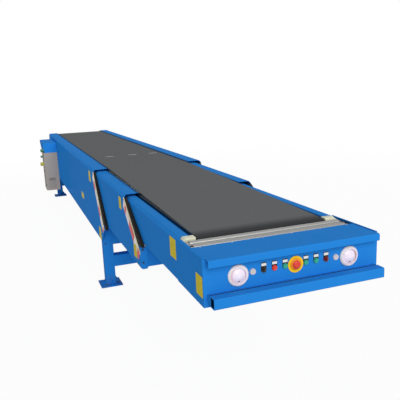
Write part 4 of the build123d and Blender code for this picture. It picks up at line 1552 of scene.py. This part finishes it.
@dataclass
class CabinetDress(SubAssembly):
    """Cover, locks, gasket and switchgear of the electric cabinet.

    Attributes:
        cover: Thickness, width and height of the cover on its front end.
        cover_low: Height of the cover's foot over the floor.
        cover_share: Side place of the cover, as a share of the cabinet's depth.
        louvre: Thickness, width and height of a louvre.
        louvre_drop: Height of the first louvre under the cover's head.
        lock_inset: Distance of the locks from the door's free edge.
        lock_heights: Heights of the locks over the door's foot.
        gasket: Width and thickness of the door's gasket.
        gasket_inset: Distance of the gasket from the door's edges, and from its hinged edge.
        gasket_deep: How far inside the door's outer face it lies.
        gear_share: Length of the rails as a share of the mounting plate.
        row_shares: Heights of the rows of modules, as shares of the mounting plate.
        module: Pitch, depth and height of the modules.
    """

    cover: tuple[float, float, float] = (3 * MM, 116 * MM, 172 * MM)
    cover_low: float = 0.296
    cover_share: float = 0.42
    louvre: tuple[float, float, float] = (4 * MM, 92.8 * MM, 5 * MM)
    louvre_drop: float = 18 * MM
    louvre_pitch: float = 10 * MM
    louvre_count: int = 4
    lock: tuple[float, float] = (13 * MM, 9 * MM)
    lock_inset: float = 32 * MM
    lock_heights: tuple[float, float] = (95 * MM, 330 * MM)
    gasket: tuple[float, float] = (9 * MM, 6 * MM)
    gasket_inset: tuple[float, float] = (14 * MM, 22 * MM)
    gasket_deep: float = 24 * MM
    gear_share: float = 0.84
    row_shares: tuple[float, float, float] = (0.22, 0.52, 0.82)
    rail: tuple[float, float] = (7 * MM, 35 * MM)
    duct: tuple[float, float] = (40 * MM, 30 * MM)
    module: tuple[float, float, float] = (45 * MM, 60 * MM, 82 * MM)
    toggle: tuple[float, float, float] = (12 * MM, 10 * MM, 16 * MM)

    def side_cover(self) -> None:
        """Flat cover with a row of louvres at its head, on the cabinet's front end."""
        cabinet, (thick, _, tall) = NodeBox("control_cabinet"), self.cover
        face, y = cabinet.high.x, cabinet.low.y + cabinet.size.y * self.cover_share
        cover = Piece.box("cabinet_cover", self.cover, (face + thick / 2, y, self.cover_low + tall / 2))
        cover.inset(FORWARD, 8 * MM, -1 * MM).rounded(0.8 * MM)
        cover.fit(self.finishes.cover_grey, "base", "cabinet_paint")
        at = (face + thick, y, self.cover_low + tall - self.louvre_drop)
        slat = Piece.box("cabinet_louvres", self.louvre, at).rounded(1.6 * MM)
        slats = slat.copies([(0.0, 0.0, -i * self.louvre_pitch) for i in range(self.louvre_count)])
        slats.fit(self.finishes.louvre_grey, "base", "cabinet_paint")

    def door(self) -> None:
        """Two quarter-turn locks near the door's free edge, and the foam gasket inside it."""
        low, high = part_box("cabinet_door")
        lock = Piece.rod("door_locks", *self.lock, (high.x - self.lock_inset, low.y - 4 * MM, low.z), Axis.Y)
        lock.inset(RIGHTWARD, 3 * MM, -1.5 * MM).inset(RIGHTWARD, 4 * MM, 2.5 * MM).rounded(0.6 * MM)
        locks = lock.copies([(0.0, 0.0, height) for height in self.lock_heights])
        locks.fit(self.finishes.black, "cabinet_door", "selector")
        (wide, thick), (inset, hinge_inset) = self.gasket, self.gasket_inset
        rear, front, foot, head = low.x + hinge_inset, high.x - inset, low.z + inset, high.z - inset
        at = ((rear + front) / 2, low.y + self.gasket_deep, (foot + head) / 2)
        gasket = Piece.box("door_gasket", (front - rear, thick, head - foot), at)
        gasket.edit(RIGHTWARD, -RIGHTWARD)
        bpy.ops.mesh.inset(thickness=wide, depth=0.0, use_individual=True)
        bpy.ops.mesh.bridge_edge_loops()
        gasket.close().fit(self.finishes.black, "cabinet_door", "seal")

    def switchgear(self) -> None:
        """Rails, wire ducts, plain modules and their toggles on the mounting plate."""
        plate, (pitch, deep, tall) = NodeBox("cabinet_mounting_plate"), self.module
        face, middle, length = plate.low.y, plate.middle.x, plate.size.x * self.gear_share
        rows = [plate.low.z + plate.size.z * share for share in self.row_shares]
        between = [(rows[0] + rows[1]) / 2, (rows[1] + rows[2]) / 2]
        rail = Piece.box("cabinet_rails", (length, *self.rail), (middle, face - self.rail[0] / 2, 0.0))
        rails = rail.inset(RIGHTWARD, 5 * MM, -5 * MM).copies([(0.0, 0.0, z) for z in rows])
        rails.fit(self.finishes.zinc, "base", "bed_sheet")
        duct = Piece.box("cabinet_ducts", (length, *self.duct), (middle, face - self.duct[0] / 2, 0.0))
        ducts = duct.inset(RIGHTWARD, 2 * MM, 1 * MM).rounded(1 * MM).copies([(0.0, 0.0, z) for z in between])
        ducts.fit(self.finishes.sensor, "base", "sensor")
        most, start = int(length // pitch), middle - length / 2 + pitch / 2
        counts = (most - 1, most, most - 2)
        places = [(start + i * pitch, 0.0, z) for z, count in zip(rows, counts) for i in range(count)]
        module_y = face - self.rail[0] - deep / 2
        module = Piece.box("cabinet_modules", (pitch * 0.94, deep, tall), (0.0, module_y, 0.0))
        module.inset(RIGHTWARD, 6 * MM, 8 * MM).inset(RIGHTWARD, 7 * MM, -2 * MM).rounded(1 * MM)
        module.copies(places).fit(self.finishes.black, "base", "selector")
        toggle = Piece.box("cabinet_toggles", self.toggle, (0.0, module_y - deep / 2 - self.toggle[1], 0.0))
        toggle.rounded(2 * MM).copies(places[: counts[0]]).fit(self.finishes.white, "base", "lamp_rim")

    def build(self) -> None:
        """Build and dress the cabinet."""
        self.side_cover()
        self.door()
        self.switchgear()


@dataclass
class WeldBeads(SubAssembly):
    """Weld beads round the foot of each leg.

    Attributes:
        pitch: Distance from ripple to ripple.
        foot_top: Height of the foot plate's upper face.
    """

    radius: float = 5 * MM
    ripple: float = 0.5 * MM
    pitch: float = 4 * MM
    foot_top: float = 12 * MM
    post: float = 93 * MM

    def bead(self, middle: Vector, turn: float) -> Object:
        """Model one bead.

        Args:
            middle: Middle of its line.
            turn: Turn of the line about Z from the Y axis.

        Returns:
            The bead.
        """
        along = Vector((-math.sin(turn), math.cos(turn), 0.0))
        steps = int(self.post // self.pitch)
        Piece.clear()
        bpy.ops.mesh.primitive_cylinder_add(
            vertices=10, radius=self.radius, depth=self.post,
            location=middle, rotation=(math.pi / 2, 0.0, turn),
        )
        bead = Piece("weld_bead")
        bead.edit()
        for i in range(1, steps):
            bpy.ops.mesh.select_all(action="SELECT")
            bpy.ops.mesh.bisect(plane_co=middle + along * ((i / steps - 0.5) * self.post), plane_no=along)
        for vertex in bead.close().obj.data.vertices:
            place = (vertex.co - middle).dot(along)
            outward = (vertex.co - middle - along * place).normalized()
            vertex.co += outward * self.ripple * math.cos(math.pi * place / self.pitch)
        return bead.obj

    def build(self) -> None:
        """Build and dress the beads on the four sides of each leg."""
        beads = []
        for leg in ("front_leg_right", "front_leg_left", "rear_leg_right", "rear_leg_left"):
            middle = NodeBox(leg).middle
            for turn in (quarter * math.pi / 2 for quarter in range(4)):
                x, y = (self.post / 2 * part for part in (math.cos(turn), math.sin(turn)))
                beads.append(self.bead(Vector((middle.x + x, middle.y + y, self.foot_top)), turn))
        Piece.join("foot_welds", beads).fit(self.finishes.frame_blue, "base", "frame_paint", 60.0)


@dataclass
class Studio:
    """Camera, light, floor and background.

    Attributes:
        yaw: Turn of its view from the -X direction.
        pitch: How far it looks down.
        roll: Turn about its line of sight.
        lens_mm: Focal length on a 36 mm wide frame.
        ambient: Strength of the light from all round.
        sun: Strength of the soft light from ahead of the nose.
        sun_toward: Direction towards that light.
        sun_spread: Its angle in degrees.
        fade: Distances between which the floor turns into the background.
        floor_glow: How bright the camera sees the floor near the object.
    """

    place: tuple[float, float, float] = (6.2035, -1.1709, 1.8314)
    yaw: float = 0.348559
    pitch: float = 0.213617
    roll: float = -0.042054
    lens_mm: float = 46.24
    ambient: float = 0.44
    sun: float = 1.85
    sun_toward: tuple[float, float, float] = (0.88, -0.04, 0.47)
    sun_spread: float = 50.0
    floor_size: float = 90.0
    floor_color: Color = (0.8, 0.8, 0.8)
    fade: tuple[float, float] = (5.0, 11.0)
    floor_glow: float = 0.95

    def camera(self) -> None:
        """Add the camera at the photograph's viewpoint."""
        level = math.cos(self.pitch)
        ahead = Vector((-math.cos(self.yaw) * level, math.sin(self.yaw) * level, -math.sin(self.pitch)))
        right = ahead.cross(UP).normalized()
        up = right.cross(ahead)
        cosine, sine = math.cos(self.roll), math.sin(self.roll)
        right, up = right * cosine + up * sine, up * cosine - right * sine
        data = bpy.data.cameras.new("viewpoint")
        data.lens, data.sensor_width, data.clip_end = self.lens_mm, 36.0, 200.0
        camera = bpy.data.objects.new("viewpoint", data)
        turn = Matrix((right, up, -ahead)).transposed()
        camera.matrix_world = Matrix.Translation(Vector(self.place)) @ turn.to_4x4()
        bpy.context.scene.collection.objects.link(camera)
        bpy.context.scene.camera = camera

    def light(self) -> None:
        """Add a soft high light from ahead of the nose."""
        data = bpy.data.lights.new("soft_sun", "SUN")
        data.energy, data.angle = self.sun, math.radians(self.sun_spread)
        lamp = bpy.data.objects.new("soft_sun", data)
        lamp.matrix_world = Vector(self.sun_toward).to_track_quat("Z", "Y").to_matrix().to_4x4()
        bpy.context.scene.collection.objects.link(lamp)

    def seen_ray(self, board: Board) -> Socket:
        """Sort out the rays that show the background: straight, mirrored or through glass.

        Args:
            board: Board of a material or of the world.

        Returns:
            One for those rays, and zero for others.
        """
        path = board.add("LightPath").outputs
        seen = board.math("ADD", path["Is Camera Ray"], path["Is Glossy Ray"])
        return board.math("ADD", seen, path["Is Transmission Ray"], clamp=True)

    def world(self) -> None:
        """White background, with a plain ambient light."""
        world = bpy.context.scene.world = bpy.data.worlds.new("studio")
        world.use_nodes = True
        board = Board(world.node_tree)
        strength = board.spread(self.seen_ray(board), 0.0, 1.0, self.ambient, 1.0)
        background = board.add("Background", Color=WHITE, Strength=strength)
        board.add("OutputWorld", Surface=background.outputs[0])

    def floor(self) -> None:
        """Pale floor that keeps the shadow and fades into the background."""
        Piece.clear()
        bpy.ops.mesh.primitive_plane_add(size=self.floor_size, location=(0.0, 0.0, 0.0))
        plane = bpy.context.active_object
        plane.name = "studio_floor"
        material = bpy.data.materials.new("studio_floor")
        material.use_nodes = True
        board = Board(material.node_tree)
        diffuse = board.add("BsdfDiffuse", Color=self.floor_color).outputs[0]
        glow = board.add("Emission", Color=WHITE, Strength=1.0).outputs[0]
        distance = board.add("VectorMath", operation="LENGTH")
        board.feed(distance.inputs[0], board.add("TexCoord").outputs["Object"])
        fade = board.spread(distance.outputs["Value"], *self.fade, self.floor_glow, 1.0)
        factor = board.math("MULTIPLY", fade, self.seen_ray(board))
        blend = board.count(board.add("MixShader"), {0: factor, 1: diffuse, 2: glow})
        board.add("OutputMaterial", Surface=blend)
        plane.data.materials.append(material)

    def build(self) -> None:
        """Build the studio."""
        self.camera()
        self.light()
        self.world()
        self.floor()
        bpy.context.scene.view_settings.view_transform = "Standard"
        LOG.info("studio built")


def slanted_edges(finishes: Finishes) -> list[SlantedEdge]:
    """Trim of the three sections.

    Args:
        finishes: The conveyor's finishes.

    Returns:
        The trim. Labels are left, right, low and high edges; bands are a colour, a start and an end.
    """
    return [
        SlantedEdge(
            finishes, "base", "base", 400 * MM, 150 * MM,
            ((-0.695, -0.582, 0.95, 1.06), (-0.29, -0.174, 0.447, 0.568), (-1.424, -1.239, 0.65, 0.716)),
            (
                ("white", 0.02, 0.13), ("red", 0.13, 0.27), ("white", 0.27, 0.56), ("red", 0.56, 0.73),
                ("white", 0.73, 0.93), ("red", 0.93, 0.99),
            ),
        ),
        SlantedEdge(
            finishes, "middle", "middle_boom", 443 * MM, 105 * MM,
            ((-0.63, -0.543, 0.936, 1.034), (-0.192, -0.099, 0.672, 0.772)),
            (
                ("white", 0.02, 0.11), ("red", 0.11, 0.2), ("white", 0.2, 0.4), ("red", 0.4, 0.68),
                ("white", 0.68, 0.87), ("red", 0.87, 0.98),
            ),
        ),
        SlantedEdge(
            finishes, "front", "front_boom", 0.0, 0.0,
            ((-0.523, -0.413, 0.914, 1.03), (-0.1, -0.01, 0.845, 0.953)),
        ),
    ]


def belt_spans(finishes: Finishes) -> list[BeltSpan]:
    """The belt's two free spans, each 1.575 m long.

    Args:
        finishes: The conveyor's finishes.

    Returns:
        The spans.
    """
    length = 1.575
    first, second = (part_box(belt)[1].x - RAMP for belt in ("base_belt", "middle_belt"))
    base_end, nose = second + 5 * MM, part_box("nose_block_right")[0].x
    return [
        BeltSpan(
            finishes, "belt_span_base", ("base_belt", "middle_belt"), ("base", "middle_boom"),
            finishes.belt_plain, base_end - length, first, base_end, 1 * MM,
        ),
        BeltSpan(
            finishes, "belt_span_middle", ("middle_belt", "front_belt"), ("middle_boom", "front_boom"),
            finishes.belt_nose, nose - length, second, nose, 0.2 * MM,
        ),
    ]


def main() -> None:
    """Dress the conveyor, build its trim and set up the studio."""
    logging.basicConfig(level=logging.INFO, format="%(name)s: %(message)s")
    Studio().build()
    finishes = Finishes()
    finishes.dress_nodes()
    details = (PanelDress, NoseDress, Fixings, BeltSplice, CabinetDress, WeldBeads)
    parts = [*slanted_edges(finishes), *belt_spans(finishes), *(kind(finishes) for kind in details)]
    for part in parts:
        part.build()
        LOG.info("%s finished", type(part).__name__)


if __name__ == "__main__":
    main()
